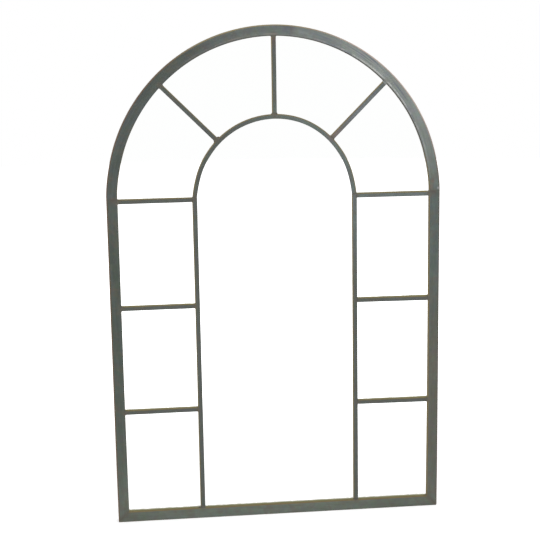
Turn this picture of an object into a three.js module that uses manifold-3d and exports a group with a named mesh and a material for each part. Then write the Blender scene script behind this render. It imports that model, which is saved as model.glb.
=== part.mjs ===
// Arched window mirror: a welded steel window frame with one arched mirror behind its bars.
// Millimetres, +Z up. The origin is the middle of the frame's depth at the centre of its underside,
// the front faces -Y, and the wall is on the +Y side.

import * as THREE from 'three';
import { mergeVertices } from 'three/addons/utils/BufferGeometryUtils.js';
import Module from 'manifold-3d';

const wasm = await Module();
wasm.setup();

// ---- driving dimensions ------------------------------------------------------------------------

// whole frame
const frameWidth = 800;
const frameHeight = 1200;

// steel angle of the outer frame
const angleFace = 25;
const angleDepth = 25;
const angleThickness = 3;

// flat bar of the inner frame
const barWidth = 10;
const barThickness = 3;
const uprightSpacing = 384;
const crossbarDrop = 6;
const crossbarsPerSide = 3;
const innerArchRadius = 189.3;
const innerArchRise = 3;
const innerArchFlareAngle = 15;
const sunburstDrop = 5;
const sunburstStepAngle = 45;

// mirror, tape and board
const tapeThickness = 1;
const tapeWidth = 6;
const tapeSetback = 1.5;
const glassThickness = 4;
const boardThickness = 3;
const edgeClearance = 1;
const blockLength = 30;
const blockOffset = 230;

// lugs, turn buttons and their screws
const lugReach = 12;
const lugWidth = 18;
const lugThickness = 3;
const lugCorner = 2;
const pivotInset = 6.5;
const buttonWidth = 10;
const buttonReach = 23;
const buttonThickness = 1.5;
const buttonTipLength = 5;
const buttonTipRise = 2.5;
const clipScrewRadius = 2;
const clipScrewLength = 6;
const clipHeadRadius = 4;
const clipHeadHeight = 2;
const bottomClipOffset = 150;
const lowClipHeight = 240;
const highClipDrop = 160;
const archClipAngle = 55;

// cross strap and what fastens it
const strapDrop = 60;
const strapWidth = 40;
const strapThickness = 3;
const strapEndClearance = 1;
const strapLugWidth = 36;
const strapLugThickness = 3;
const strapScrewRadius = 2.5;
const strapHeadRadius = 4.5;
const strapHeadHeight = 2.4;
const strapScrewLength = 7;

// ring hangers
const ringOffset = 250;
const ringInnerWidth = 16;
const ringInnerLength = 13.5;
const ringWire = 3;
const ringWireChamfer = 0.9;
const ringInnerCorner = 0.8;
const ringLean = 5;
const ringStrapWidth = 14;
const ringStrapPly = 1.2;
const ringBarClearance = 0.5;
const ringAxisLift = 3;
const ringStrapEndMargin = 1;
const rivetRadius = 2;
const rivetHeadRadius = 3.2;
const rivetHeadHeight = 1.2;
const rivetSpacing = 13;
const rivetEdgeMargin = 6;

// clearances
const weldGap = 0.3;
const restGap = 0.25;
const holeClearance = 0.3;

// fineness of round shapes: steps in a half circle
const archSteps = 48;
const holeSteps = 8;

// directions in the plane of the mirror, in degrees from its right-hand side
const toTheRight = 0;
const straightUp = 90;
const toTheLeft = 180;
const straightDown = -90;

// ---- dimensions that follow --------------------------------------------------------------------

const halfWidth = frameWidth / 2;
const springHeight = frameHeight - halfWidth;
const frontY = -angleDepth / 2;
const backY = angleDepth / 2;

const archInnerRadius = halfWidth - angleFace;
const legInnerRadius = halfWidth - angleThickness;

const tapeFrontY = frontY + angleThickness;
const tapeBackY = tapeFrontY + tapeThickness;
const barBackY = tapeBackY;
const barFrontY = barBackY - barThickness;
const glassFrontY = tapeBackY + restGap;
const glassBackY = glassFrontY + glassThickness;
const boardFrontY = glassBackY + restGap;
const boardBackY = boardFrontY + boardThickness;

const glassInset = angleThickness + lugReach + edgeClearance;

const uprightX = uprightSpacing / 2;
const innerArchZ = springHeight - innerArchRise;
const sunburstZ = springHeight - sunburstDrop;
const sunburstAngles = {
  right: straightUp - sunburstStepAngle,
  centre: straightUp,
  left: straightUp + sunburstStepAngle,
};

const highClipHeight = springHeight - highClipDrop;
const lugBackY = boardBackY;
const lugFrontY = lugBackY - lugThickness;
const buttonFrontY = lugBackY + restGap;
const buttonBackY = buttonFrontY + buttonThickness;

const strapHeight = springHeight - strapDrop;
const strapLugFrontY = boardBackY;
const strapLugBackY = strapLugFrontY + strapLugThickness;
const strapFrontY = strapLugBackY + restGap;
const strapBackY = strapFrontY + strapThickness;

const ringStrapFrontY = strapBackY + restGap;
const ringBoreRadius = ringWire / 2 + ringBarClearance;
const ringLoopRadius = ringBoreRadius + ringStrapPly;
const ringAxisY = ringStrapFrontY + ringLoopRadius;
const ringAxisZ = strapHeight + strapWidth / 2 + ringAxisLift;

// ---- materials ---------------------------------------------------------------------------------

const finishes = {
  frameSteel: { color: 0x60685f, roughness: 0.55, metalness: 0.55 },
  barSteel: { color: 0x58605c, roughness: 0.55, metalness: 0.55 },
  mirror: { color: 0xf4f6f6, roughness: 0.02, metalness: 1.0 },
  board: { color: 0x4a3a2c, roughness: 0.85, metalness: 0.0 },
  tape: { color: 0x161616, roughness: 0.95, metalness: 0.0 },
  block: { color: 0x1d1d1e, roughness: 0.8, metalness: 0.0 },
  zinc: { color: 0xa9aaa4, roughness: 0.4, metalness: 0.9 },
};

function piece(name, geometry, finish) {
  const mesh = new THREE.Mesh(geometry, new THREE.MeshStandardMaterial(finishes[finish]));
  mesh.name = name;
  return mesh;
}

// ---- geometry helpers --------------------------------------------------------------------------

// A flat outline drawn in x and z, as thick as the space between two depths.
function plate(shape, fromY, toY, curveSteps = archSteps) {
  const geometry = new THREE.ExtrudeGeometry(shape, {
    depth: toY - fromY,
    bevelEnabled: false,
    curveSegments: curveSteps / 2,
  });
  geometry.rotateX(Math.PI / 2);
  geometry.translate(0, toY, 0);
  return geometry;
}

function box(fromX, toX, fromY, toY, fromZ, toZ) {
  const geometry = new THREE.BoxGeometry(toX - fromX, toY - fromY, toZ - fromZ);
  geometry.translate((fromX + toX) / 2, (fromY + toY) / 2, (fromZ + toZ) / 2);
  return geometry;
}

function solid(geometry) {
  const bare = geometry.clone();
  bare.deleteAttribute('normal');
  bare.deleteAttribute('uv');
  const merged = mergeVertices(bare);
  return new wasm.Manifold(new wasm.Mesh({
    numProp: 3,
    vertProperties: new Float32Array(merged.attributes.position.array),
    triVerts: new Uint32Array(merged.index.array),
  }));
}

function geometryOf(manifold) {
  const mesh = manifold.getMesh();
  const geometry = new THREE.BufferGeometry();
  geometry.setAttribute('position', new THREE.BufferAttribute(mesh.vertProperties, 3));
  geometry.setIndex(new THREE.BufferAttribute(mesh.triVerts, 1));
  geometry.computeVertexNormals();
  return geometry;
}

// Half of a flat ring, standing on the spring line.
function halfRing(outerRadius, innerRadius) {
  const shape = new THREE.Shape();
  shape.moveTo(outerRadius, springHeight);
  shape.absarc(0, springHeight, outerRadius, 0, Math.PI, false);
  shape.lineTo(-innerRadius, springHeight);
  shape.absarc(0, springHeight, innerRadius, Math.PI, 0, true);
  shape.closePath();
  return shape;
}

// The outline of the window: square below the spring line and half round above it.
function windowOutline(path, insetFromEdge) {
  const half = halfWidth - insetFromEdge;
  path.moveTo(-half, insetFromEdge);
  path.lineTo(half, insetFromEdge);
  path.lineTo(half, springHeight);
  path.absarc(0, springHeight, half, 0, Math.PI, false);
  path.closePath();
  return path;
}

function roundHole(x, z, radius) {
  const hole = new THREE.Path();
  hole.absarc(x, z, radius, 0, 2 * Math.PI, false);
  return hole;
}

function turned(profile, steps = 2 * holeSteps) {
  const points = profile.map(([radius, along]) => new THREE.Vector2(radius, along));
  return new THREE.LatheGeometry(points, steps);
}

// ---- outer frame -------------------------------------------------------------------------------

// Steel angle drawn as face and depth, with its corner on the outside front edge of the frame.
function angleSection() {
  const shape = new THREE.Shape();
  shape.moveTo(0, 0);
  shape.lineTo(angleFace, 0);
  shape.lineTo(angleFace, angleThickness);
  shape.lineTo(angleThickness, angleThickness);
  shape.lineTo(angleThickness, angleDepth);
  shape.lineTo(0, angleDepth);
  shape.closePath();
  return shape;
}

// A length of angle, with each end that is mitred cut back along the face at 45 degrees.
function angleLength(length, mitreStart, mitreEnd) {
  const geometry = new THREE.ExtrudeGeometry(angleSection(), { depth: length, bevelEnabled: false });
  const positions = geometry.attributes.position;
  const mitreGap = weldGap / Math.SQRT2;
  for (let i = 0; i < positions.count; i++) {
    const across = positions.getX(i);
    const atEnd = positions.getZ(i) > length / 2;
    if (atEnd && mitreEnd) {
      positions.setZ(i, length - across - mitreGap);
    }
    if (!atEnd && mitreStart) {
      positions.setZ(i, across + mitreGap);
    }
  }
  geometry.computeVertexNormals();
  return geometry;
}

// The section's x runs inwards over the face, its y runs back and its length runs along the rail.
function placeAngle(geometry, inward, back, along, corner) {
  const basis = new THREE.Matrix4().makeBasis(inward, back, along);
  geometry.applyMatrix4(basis);
  geometry.translate(corner.x, corner.y, corner.z);
  return geometry;
}

function outerFrame() {
  const group = new THREE.Group();
  const right = new THREE.Vector3(1, 0, 0);
  const back = new THREE.Vector3(0, 1, 0);
  const up = new THREE.Vector3(0, 0, 1);
  const down = up.clone().negate();

  // The right stile is made from its top down, so that its section isn't turned inside out.
  const stileLength = springHeight - weldGap;
  const leftStile = placeAngle(
    angleLength(stileLength, true, false), right, back, up, new THREE.Vector3(-halfWidth, frontY, 0));
  const rightStile = placeAngle(
    angleLength(stileLength, false, true), right.clone().negate(), back, down,
    new THREE.Vector3(halfWidth, frontY, stileLength));
  const bottomRail = placeAngle(
    angleLength(frameWidth, true, true), up, back, right.clone().negate(),
    new THREE.Vector3(halfWidth, frontY, 0));

  const archFace = solid(plate(halfRing(halfWidth, archInnerRadius), frontY, frontY + angleThickness));
  const archLeg = solid(plate(halfRing(halfWidth, legInnerRadius), frontY, backY));

  group.add(piece('left_stile', leftStile, 'frameSteel'));
  group.add(piece('right_stile', rightStile, 'frameSteel'));
  group.add(piece('bottom_rail', bottomRail, 'frameSteel'));
  group.add(piece('arch_rail', geometryOf(archFace.add(archLeg)), 'frameSteel'));
  return group;
}

// ---- inner frame of flat bar -------------------------------------------------------------------

// Middle line of the inner arch. The bar opens out over its last few degrees to meet the uprights.
function innerArchPoint(degrees, offset) {
  const fromSpring = Math.min(degrees, 180 - degrees);
  const flare = (uprightX - innerArchRadius) * Math.max(0, 1 - fromSpring / innerArchFlareAngle) ** 2;
  const radius = innerArchRadius + flare + offset;
  const angle = THREE.MathUtils.degToRad(degrees);
  return new THREE.Vector2(radius * Math.cos(angle), innerArchZ + radius * Math.sin(angle));
}

function innerArchShape() {
  const outer = [];
  const inner = [];
  for (let step = 0; step <= archSteps; step++) {
    const degrees = 180 * step / archSteps;
    outer.push(innerArchPoint(degrees, barWidth / 2));
    inner.unshift(innerArchPoint(degrees, -barWidth / 2));
  }
  return new THREE.Shape([...outer, ...inner]);
}

// How far a ray from the sunburst's centre goes before it meets a circle centred above that centre.
function rayReach(degrees, circleRise, radius) {
  const along = circleRise * Math.sin(THREE.MathUtils.degToRad(degrees));
  return along + Math.sqrt(along ** 2 + radius ** 2 - circleRise ** 2);
}

function sunburstBar(side, degrees) {
  const from = rayReach(degrees, innerArchZ - sunburstZ, innerArchRadius + barWidth / 2) + weldGap;
  const to = rayReach(degrees, springHeight - sunburstZ, archInnerRadius) - weldGap;
  const bar = piece(
    `sunburst_bar_${side}`,
    box(from, to, barFrontY, barBackY, -barWidth / 2, barWidth / 2), 'barSteel');
  bar.rotation.y = -THREE.MathUtils.degToRad(degrees);
  bar.position.z = sunburstZ;
  return bar;
}

function crossbarHeights() {
  const top = springHeight - crossbarDrop;
  const spacing = (top - barWidth / 2 - angleFace + barWidth) / crossbarsPerSide;
  return Array.from({ length: crossbarsPerSide }, (_, row) => top - row * spacing);
}

function innerFrame() {
  const group = new THREE.Group();
  const innerX = uprightX + barWidth / 2 + weldGap;
  const outerX = archInnerRadius - weldGap;
  const rows = ['top', 'middle', 'low'];

  for (const [side, sign] of [['left', -1], ['right', 1]]) {
    const upright = piece(
      `${side}_upright`,
      box(-barWidth / 2, barWidth / 2, barFrontY, barBackY, angleFace + weldGap, innerArchZ - weldGap),
      'barSteel');
    upright.position.x = sign * uprightX;
    group.add(upright);

    crossbarHeights().forEach((height, row) => {
      const crossbar = piece(
        `crossbar_${side}_${rows[row] ?? row + 1}`,
        box(innerX, outerX, barFrontY, barBackY, -barWidth / 2, barWidth / 2), 'barSteel');
      crossbar.rotation.y = sign < 0 ? Math.PI : 0;
      crossbar.position.z = height;
      group.add(crossbar);
    });
  }

  group.add(piece('inner_arch', plate(innerArchShape(), barFrontY, barBackY), 'barSteel'));
  for (const [side, degrees] of Object.entries(sunburstAngles)) {
    group.add(sunburstBar(side, degrees));
  }
  return group;
}

// ---- mirror, tape, board and setting blocks ----------------------------------------------------

function glazing() {
  const group = new THREE.Group();
  const tapeInner = angleFace - tapeSetback;
  const tapeShape = windowOutline(new THREE.Shape(), tapeInner - tapeWidth);
  tapeShape.holes.push(windowOutline(new THREE.Path(), tapeInner));
  const pane = windowOutline(new THREE.Shape(), glassInset);

  group.add(piece('glazing_tape', plate(tapeShape, tapeFrontY, tapeBackY), 'tape'));
  group.add(piece('mirror_glass', plate(pane, glassFrontY, glassBackY), 'mirror'));
  group.add(piece('backing_board', plate(pane, boardFrontY, boardBackY), 'board'));

  for (const [side, sign] of [['left', -1], ['right', 1]]) {
    const block = piece(
      `setting_block_${side}`,
      box(-blockLength / 2, blockLength / 2, glassFrontY, boardBackY, angleThickness, glassInset - restGap),
      'block');
    block.position.x = sign * blockOffset;
    group.add(block);
  }
  return group;
}

// ---- lugs, turn buttons and clip screws --------------------------------------------------------

// Drawn about the screw, with x running inwards over the board.
function clipLugGeometry() {
  const fromX = weldGap - pivotInset;
  const toX = lugReach - pivotInset;
  const half = lugWidth / 2;
  const shape = new THREE.Shape();
  shape.moveTo(fromX, -half);
  shape.lineTo(toX - lugCorner, -half);
  shape.lineTo(toX, lugCorner - half);
  shape.lineTo(toX, half - lugCorner);
  shape.lineTo(toX - lugCorner, half);
  shape.lineTo(fromX, half);
  shape.closePath();
  shape.holes.push(roundHole(0, 0, clipScrewRadius + holeClearance));
  return plate(shape, lugFrontY, lugBackY, holeSteps);
}

function turnButtonGeometry() {
  const round = buttonWidth / 2;
  const outline = new THREE.Shape();
  outline.absarc(0, 0, round, Math.PI / 2, 3 * Math.PI / 2, false);
  outline.absarc(buttonReach - round, 0, round, -Math.PI / 2, Math.PI / 2, false);
  outline.closePath();
  outline.holes.push(roundHole(0, 0, clipScrewRadius + holeClearance));
  const blank = plate(outline, buttonFrontY, buttonBackY + buttonTipRise, holeSteps);

  // side view: flat on the board, with the tip bent up for a finger
  const bendX = buttonReach - buttonTipLength;
  const slope = buttonTipRise / buttonTipLength;
  const farX = buttonReach + round;
  const farRise = (farX - bendX) * slope;
  const side = new THREE.Shape();
  side.moveTo(-2 * round, 0);
  side.lineTo(bendX, 0);
  side.lineTo(farX, farRise);
  side.lineTo(farX, farRise + buttonThickness);
  side.lineTo(bendX, buttonThickness);
  side.lineTo(-2 * round, buttonThickness);
  side.closePath();
  const strip = new THREE.ExtrudeGeometry(side, { depth: 2 * buttonWidth, bevelEnabled: false });
  strip.translate(0, buttonFrontY, -buttonWidth);
  return geometryOf(solid(blank).intersect(solid(strip)));
}

function clipScrewGeometry() {
  const headFrom = buttonBackY + restGap;
  const headTo = headFrom + clipHeadHeight;
  return turned([
    [0, headFrom - clipScrewLength],
    [clipScrewRadius, headFrom - clipScrewLength],
    [clipScrewRadius, headFrom],
    [clipHeadRadius, headFrom],
    [clipHeadRadius, headFrom + clipHeadHeight / 2],
    [clipHeadRadius / 2, headTo],
    [0, headTo],
  ]);
}

function clip(name, outward, x, z) {
  const group = new THREE.Group();
  group.add(piece(`clip_lug_${name}`, clipLugGeometry(), 'frameSteel'));
  group.add(piece(`turn_button_${name}`, turnButtonGeometry(), 'zinc'));
  group.add(piece(`clip_screw_${name}`, clipScrewGeometry(), 'zinc'));
  group.rotation.y = Math.PI - THREE.MathUtils.degToRad(outward);
  group.position.set(x, 0, z);
  return group;
}

function clips() {
  const group = new THREE.Group();
  const sidePivot = legInnerRadius - pivotInset;
  const bottomPivot = angleThickness + pivotInset;

  // The arch is drawn with straight steps, and a lug's square outer edge stays inside them.
  const stepRadius = legInnerRadius * Math.cos(Math.PI / archSteps / 2);
  const archSeat = Math.sqrt(stepRadius ** 2 - (lugWidth / 2) ** 2);
  const archPivot = archSeat - pivotInset;

  for (const [side, sign, sideways] of [['left', -1, toTheLeft], ['right', 1, toTheRight]]) {
    const slanted = sideways + sign * archClipAngle;
    const angle = THREE.MathUtils.degToRad(slanted);
    const archX = archPivot * Math.cos(angle);
    const archZ = springHeight + archPivot * Math.sin(angle);
    group.add(clip(`bottom_${side}`, straightDown, sign * bottomClipOffset, bottomPivot));
    group.add(clip(`${side}_low`, sideways, sign * sidePivot, lowClipHeight));
    group.add(clip(`${side}_high`, sideways, sign * sidePivot, highClipHeight));
    group.add(clip(`arch_${side}`, slanted, archX, archZ));
  }
  return group;
}

// ---- cross strap -------------------------------------------------------------------------------

function strapScrewGeometry() {
  const headFrom = strapBackY + restGap;
  const headTo = headFrom + strapHeadHeight;
  return turned([
    [0, headFrom - strapScrewLength],
    [strapScrewRadius, headFrom - strapScrewLength],
    [strapScrewRadius, headFrom],
    [strapHeadRadius, headFrom],
    [strapHeadRadius, headFrom + strapHeadHeight / 2],
    [strapHeadRadius / 2, headTo],
    [0, headTo],
  ]);
}

function strapLugGeometry() {
  const shape = new THREE.Shape();
  shape.moveTo(-pivotInset + weldGap, -strapLugWidth / 2);
  shape.lineTo(lugReach - pivotInset, -strapLugWidth / 2);
  shape.lineTo(lugReach - pivotInset, strapLugWidth / 2);
  shape.lineTo(-pivotInset + weldGap, strapLugWidth / 2);
  shape.closePath();
  shape.holes.push(roundHole(0, 0, strapScrewRadius + holeClearance));
  return plate(shape, strapLugFrontY, strapLugBackY, holeSteps);
}

// Distances of the two rivets below a ring's axis.
function rivetDrops() {
  const lowest = ringAxisLift + strapWidth - rivetEdgeMargin - ringStrapEndMargin;
  return { upper: lowest - rivetSpacing, lower: lowest };
}

function crossStrapGeometry() {
  const screwX = legInnerRadius - pivotInset;
  const endX = legInnerRadius - strapEndClearance;
  const shape = new THREE.Shape();
  shape.moveTo(-endX, -strapWidth / 2);
  shape.lineTo(endX, -strapWidth / 2);
  shape.lineTo(endX, strapWidth / 2);
  shape.lineTo(-endX, strapWidth / 2);
  shape.closePath();
  for (const sign of [-1, 1]) {
    shape.holes.push(roundHole(sign * screwX, 0, strapScrewRadius + holeClearance));
    for (const drop of Object.values(rivetDrops())) {
      const rivetZ = ringAxisZ - drop - strapHeight;
      shape.holes.push(roundHole(sign * ringOffset, rivetZ, rivetRadius + holeClearance));
    }
  }
  return plate(shape, strapFrontY, strapBackY, holeSteps);
}

function crossStrap() {
  const group = new THREE.Group();
  group.add(piece('cross_strap', crossStrapGeometry(), 'frameSteel'));
  for (const [side, sign] of [['left', -1], ['right', 1]]) {
    const end = new THREE.Group();
    end.add(piece(`strap_lug_${side}`, strapLugGeometry(), 'frameSteel'));
    end.add(piece(`strap_screw_${side}`, strapScrewGeometry(), 'zinc'));
    end.rotation.y = sign < 0 ? 0 : Math.PI;
    end.position.x = sign * (legInnerRadius - pivotInset);
    group.add(end);
  }
  group.position.z = strapHeight;
  return group;
}

// ---- ring hangers ------------------------------------------------------------------------------

// Sheet folded round the ring's bar: a loop above two plies that lie on the cross strap.
// Its side view is drawn with x running up from the ring's axis and y running back.
function ringStrapGeometry() {
  const tail = rivetDrops().lower + rivetEdgeMargin;
  const plies = 2 * ringStrapPly;
  const foldAngle = Math.PI - Math.asin((plies - ringLoopRadius) / ringLoopRadius);
  const side = new THREE.Shape();
  side.moveTo(-tail, -ringLoopRadius);
  side.lineTo(0, -ringLoopRadius);
  side.absarc(0, 0, ringLoopRadius, -Math.PI / 2, foldAngle, false);
  side.lineTo(-tail, plies - ringLoopRadius);
  side.closePath();
  side.holes.push(roundHole(0, 0, ringBoreRadius));
  const strip = new THREE.ExtrudeGeometry(side, {
    depth: ringStrapWidth,
    bevelEnabled: false,
    curveSegments: holeSteps,
  });
  strip.translate(0, 0, -ringStrapWidth / 2);
  const upright = new THREE.Matrix4().makeBasis(
    new THREE.Vector3(0, 0, 1), new THREE.Vector3(0, 1, 0), new THREE.Vector3(-1, 0, 0));
  strip.applyMatrix4(upright);

  let strap = solid(strip);
  for (const drop of Object.values(rivetDrops())) {
    const drill = new THREE.CylinderGeometry(
      rivetRadius + holeClearance, rivetRadius + holeClearance, 4 * ringLoopRadius, 2 * holeSteps);
    drill.translate(0, 0, -drop);
    strap = strap.subtract(solid(drill));
  }
  return geometryOf(strap);
}

// A D of wire about its straight bar, hanging down from the axis.
function hangingRingGeometry() {
  const inner = ringInnerWidth / 2;
  const wireHalf = ringWire / 2;
  const outer = inner + ringWire;
  const bowDrop = wireHalf + ringInnerLength - inner;

  const shape = new THREE.Shape();
  shape.moveTo(-outer + wireHalf, wireHalf);
  shape.absarc(-outer + wireHalf, 0, wireHalf, Math.PI / 2, Math.PI, false);
  shape.lineTo(-outer, -bowDrop);
  shape.absarc(0, -bowDrop, outer, Math.PI, 2 * Math.PI, false);
  shape.lineTo(outer, 0);
  shape.absarc(outer - wireHalf, 0, wireHalf, 0, Math.PI / 2, false);
  shape.closePath();

  const hole = new THREE.Path();
  hole.moveTo(inner - ringInnerCorner, -wireHalf);
  hole.lineTo(-inner + ringInnerCorner, -wireHalf);
  hole.lineTo(-inner, -wireHalf - ringInnerCorner);
  hole.lineTo(-inner, -bowDrop);
  hole.absarc(0, -bowDrop, inner, Math.PI, 2 * Math.PI, false);
  hole.lineTo(inner, -wireHalf - ringInnerCorner);
  hole.closePath();
  shape.holes.push(hole);

  const ring = new THREE.ExtrudeGeometry(shape, {
    depth: ringWire - 2 * ringWireChamfer,
    curveSegments: holeSteps,
    bevelEnabled: true,
    bevelThickness: ringWireChamfer,
    bevelSize: ringWireChamfer,
    bevelOffset: -ringWireChamfer,
    bevelSegments: 1,
  });
  ring.translate(0, 0, ringWireChamfer - wireHalf);
  ring.rotateX(Math.PI / 2);
  return ring;
}

function rivetGeometry() {
  const frontHead = strapFrontY - restGap;
  const backHead = ringStrapFrontY + 2 * ringStrapPly + restGap;
  return turned([
    [0, frontHead - rivetHeadHeight],
    [rivetHeadRadius / 2, frontHead - rivetHeadHeight],
    [rivetHeadRadius, frontHead],
    [rivetRadius, frontHead],
    [rivetRadius, backHead],
    [rivetHeadRadius, backHead],
    [rivetHeadRadius / 2, backHead + rivetHeadHeight],
    [0, backHead + rivetHeadHeight],
  ]);
}

function ringHangers() {
  const group = new THREE.Group();
  for (const [side, sign] of [['left', -1], ['right', 1]]) {
    const hanger = new THREE.Group();
    const strap = piece(`ring_strap_${side}`, ringStrapGeometry(), 'zinc');
    strap.position.y = ringAxisY;
    hanger.add(strap);

    const ring = piece(`hanging_ring_${side}`, hangingRingGeometry(), 'zinc');
    ring.rotation.x = THREE.MathUtils.degToRad(ringLean);
    ring.position.y = ringAxisY;
    hanger.add(ring);

    for (const [place, drop] of Object.entries(rivetDrops())) {
      const rivet = piece(`rivet_${side}_${place}`, rivetGeometry(), 'zinc');
      rivet.position.z = -drop;
      hanger.add(rivet);
    }
    hanger.position.set(sign * ringOffset, 0, ringAxisZ);
    group.add(hanger);
  }
  return group;
}

// ---- assembly ----------------------------------------------------------------------------------

const mirror = new THREE.Group();
mirror.add(outerFrame());
mirror.add(innerFrame());
mirror.add(glazing());
mirror.add(clips());
mirror.add(crossStrap());
mirror.add(ringHangers());

export default mirror;
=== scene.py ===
import math

import bmesh
import bpy
import numpy as np
from mathutils import Matrix, Vector, noise


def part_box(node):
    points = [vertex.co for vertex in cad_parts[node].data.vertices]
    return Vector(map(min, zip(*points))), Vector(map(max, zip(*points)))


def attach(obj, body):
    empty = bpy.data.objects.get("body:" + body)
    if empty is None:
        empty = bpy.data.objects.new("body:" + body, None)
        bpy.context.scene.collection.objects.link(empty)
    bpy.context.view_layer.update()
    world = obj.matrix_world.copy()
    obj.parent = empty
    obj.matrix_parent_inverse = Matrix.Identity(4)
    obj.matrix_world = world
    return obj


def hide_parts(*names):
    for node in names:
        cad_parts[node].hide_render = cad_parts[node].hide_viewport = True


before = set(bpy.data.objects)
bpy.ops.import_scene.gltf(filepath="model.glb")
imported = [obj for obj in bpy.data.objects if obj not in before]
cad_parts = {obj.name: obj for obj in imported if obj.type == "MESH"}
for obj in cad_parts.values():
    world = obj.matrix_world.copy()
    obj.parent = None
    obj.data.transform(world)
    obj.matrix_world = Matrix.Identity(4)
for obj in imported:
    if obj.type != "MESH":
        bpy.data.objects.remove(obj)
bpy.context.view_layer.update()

# Arched window mirror. Lengths are in millimetres and become metres as a mesh is made.
# x runs along the frame, y runs back from the middle of its depth, z runs up from its underside.

MM = 0.001
SIDES = (("left", -1), ("right", 1))

# ---- sizes, as in the solids -------------------------------------------------------------------

FRAME_HALF = 400.0
SPRING_Z = 800.0
FACE_Y = -12.5
FACE_WIDE = 25.0
STEEL_DEEP = 25.0
STEEL_THICK = 3.0
FLANGE_R = FRAME_HALF - FACE_WIDE
LEG_R = FRAME_HALF - STEEL_THICK

BAR_FRONT_Y = -11.5
BAR_BACK_Y = -8.5
BAR_HALF = 5.0
UPRIGHT_X = 192.0
CROSSBAR_Z = {"top": 794.0, "middle": 536.0, "low": 278.0}
INNER_ARCH_R = 189.3
INNER_ARCH_Z = 797.0
FLARE_ANGLE = 15.0
SUNBURST_Z = 795.0
SUNBURST = {"right": 45.0, "centre": 90.0, "left": 135.0}

GLASS_Y = (-8.25, -4.25)
BOARD_Y = (-4.0, -1.0)
PANE_HALF = 384.0
PANE_FOOT_Z = 16.0

BUTTON_THICK = 1.5
BUTTON_ROUND = 5.0
BUTTON_REACH = 23.0
BUTTON_STRAIGHT = BUTTON_REACH - 2 * BUTTON_ROUND
BUTTON_HOLE = 2.3
# Where the turn buttons sit, with the way that each one points outwards, in degrees.
CLIPS = {
    "bottom_left": -90, "bottom_right": -90, "left_low": 180, "left_high": 180,
    "right_low": 0, "right_high": 0, "arch_left": 125, "arch_right": 55,
}
LUG_TOP_Y = -1.0
LUG_HALF = 8.4
# The bead along a lug's foot runs this far outside its screw. In the arch it follows the bend by a share
# and is ground low, where the turn button swings over it.
LUG_FOOT = 6.25
LUG_BEND_SHARE = 0.32
LUG_BEAD_HIGH = {"straight": 0.85, "arch": 0.2}
STRAP_Z = 740.0
STRAP_LUG_HALF = 17.0
RING_X = 250.0
RING_AXIS_Y = 8.7
RING_AXIS_Z = 763.0
RING_LEAN = math.radians(5)
RING_WIRE = 1.5
RING_SIDE = 9.5
RING_CORNER_X = 7.9
RING_BAR_HALF = 7.6
RING_SHOULDER_DROP = 4.5
RING_BOW_DROP = 7.0
STRAP_PLY = 1.2
STRAP_HALF = 7.0
STRAP_TAIL = -42.0
STRAP_NECK = -7.0
STRAP_WRAP = 230.0
RIVET_Y = (2.0, 8.15)
RIVET_SHANK = 2.0
RIVET_DOME = (3.2, 1.2)

# ---- hand of the maker -------------------------------------------------------------------------

# How deep the surface dips, over waves this long, and the nicks in an arris, which lie this close to it.
HAND_FINISH = 0.08
HAND_WAVE = 47.0
NICK_DEPTH = 0.2
NICK_LONG = 7.0
NICK_ZONE = 1.5
CORNER_ROUND = 3.5

# How far each section is built up at its edge, since a render thins dark edges more than a photograph.
FRAME_BUILD = 1.2
STILE_BUILD = 1.6
BAR_BUILD = 0.45
UPRIGHT_BUILD = 0.85

ARC_STEPS = 3
STATION_STEP = 6.0

# The stiles lean in at their feet, from this height down.
FOOT_LEAN = 1.1
FOOT_LEAN_Z = 350.0

# The arch was bent by hand: this far in all over from some degrees past its feet, and more or less
# about the degrees named here, where 0 is its right foot and 180 its left one.
BEND_ALL_OVER = -1.7
BEND_EASE = 13.0
BEND_WIDTH = 20.0
BENDS = {46: -0.3, 90: 0.3, 144: -0.8}

# Its leg is filed within these degrees of its two turn buttons and between these depths.
FILED_SHARE = 0.68
FILED_REACH = 5.4
FILED_DEPTH = (5.0, 23.0)

# The inner arch sags once it is this many degrees past its feet, less at the top and more on the left.
SAG = 1.3
SAG_EASE = 35.0
SAG_LESS = (-1.4, 72, 28)
SAG_MORE = (0.3, 135, 25)
INNER_ARCH_DROP = 0.5

# How far the ends of each bar stand from where they were set out: from low to high for the uprights,
# from the inner end to the outer one for the crossbars, and as (x, z) for the sunburst bars.
UPRIGHT_SET = {"left": (1.3, 0.1), "right": (0.5, -0.5)}
CROSSBAR_SET = {
    ("left", "top"): (-0.6, -1.0), ("left", "middle"): (0.1, -0.4), ("left", "low"): (0.6, 0.2),
    ("right", "top"): (-1.3, -1.6), ("right", "middle"): (0.1, -1.4), ("right", "low"): (0.8, -0.6),
}
SUNBURST_SET = {"left": (0.9, 0.3), "centre": (1.3, 0.0), "right": (0.3, -0.5)}


def lump(point, size):
    """Smooth unevenness from -1 to 1 at a point, over bumps about `size` millimetres wide."""
    return noise.noise(Vector(point) / size)


def hump(value, middle, width):
    """1 at the middle, easing away to 0 over the width on both sides."""
    return math.exp(-((value - middle) / width) ** 2)


# ---- meshes ------------------------------------------------------------------------------------


def angles_round(count):
    """Angles evenly spaced round a circle."""
    return [2 * math.pi * k / count for k in range(count)]


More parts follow.
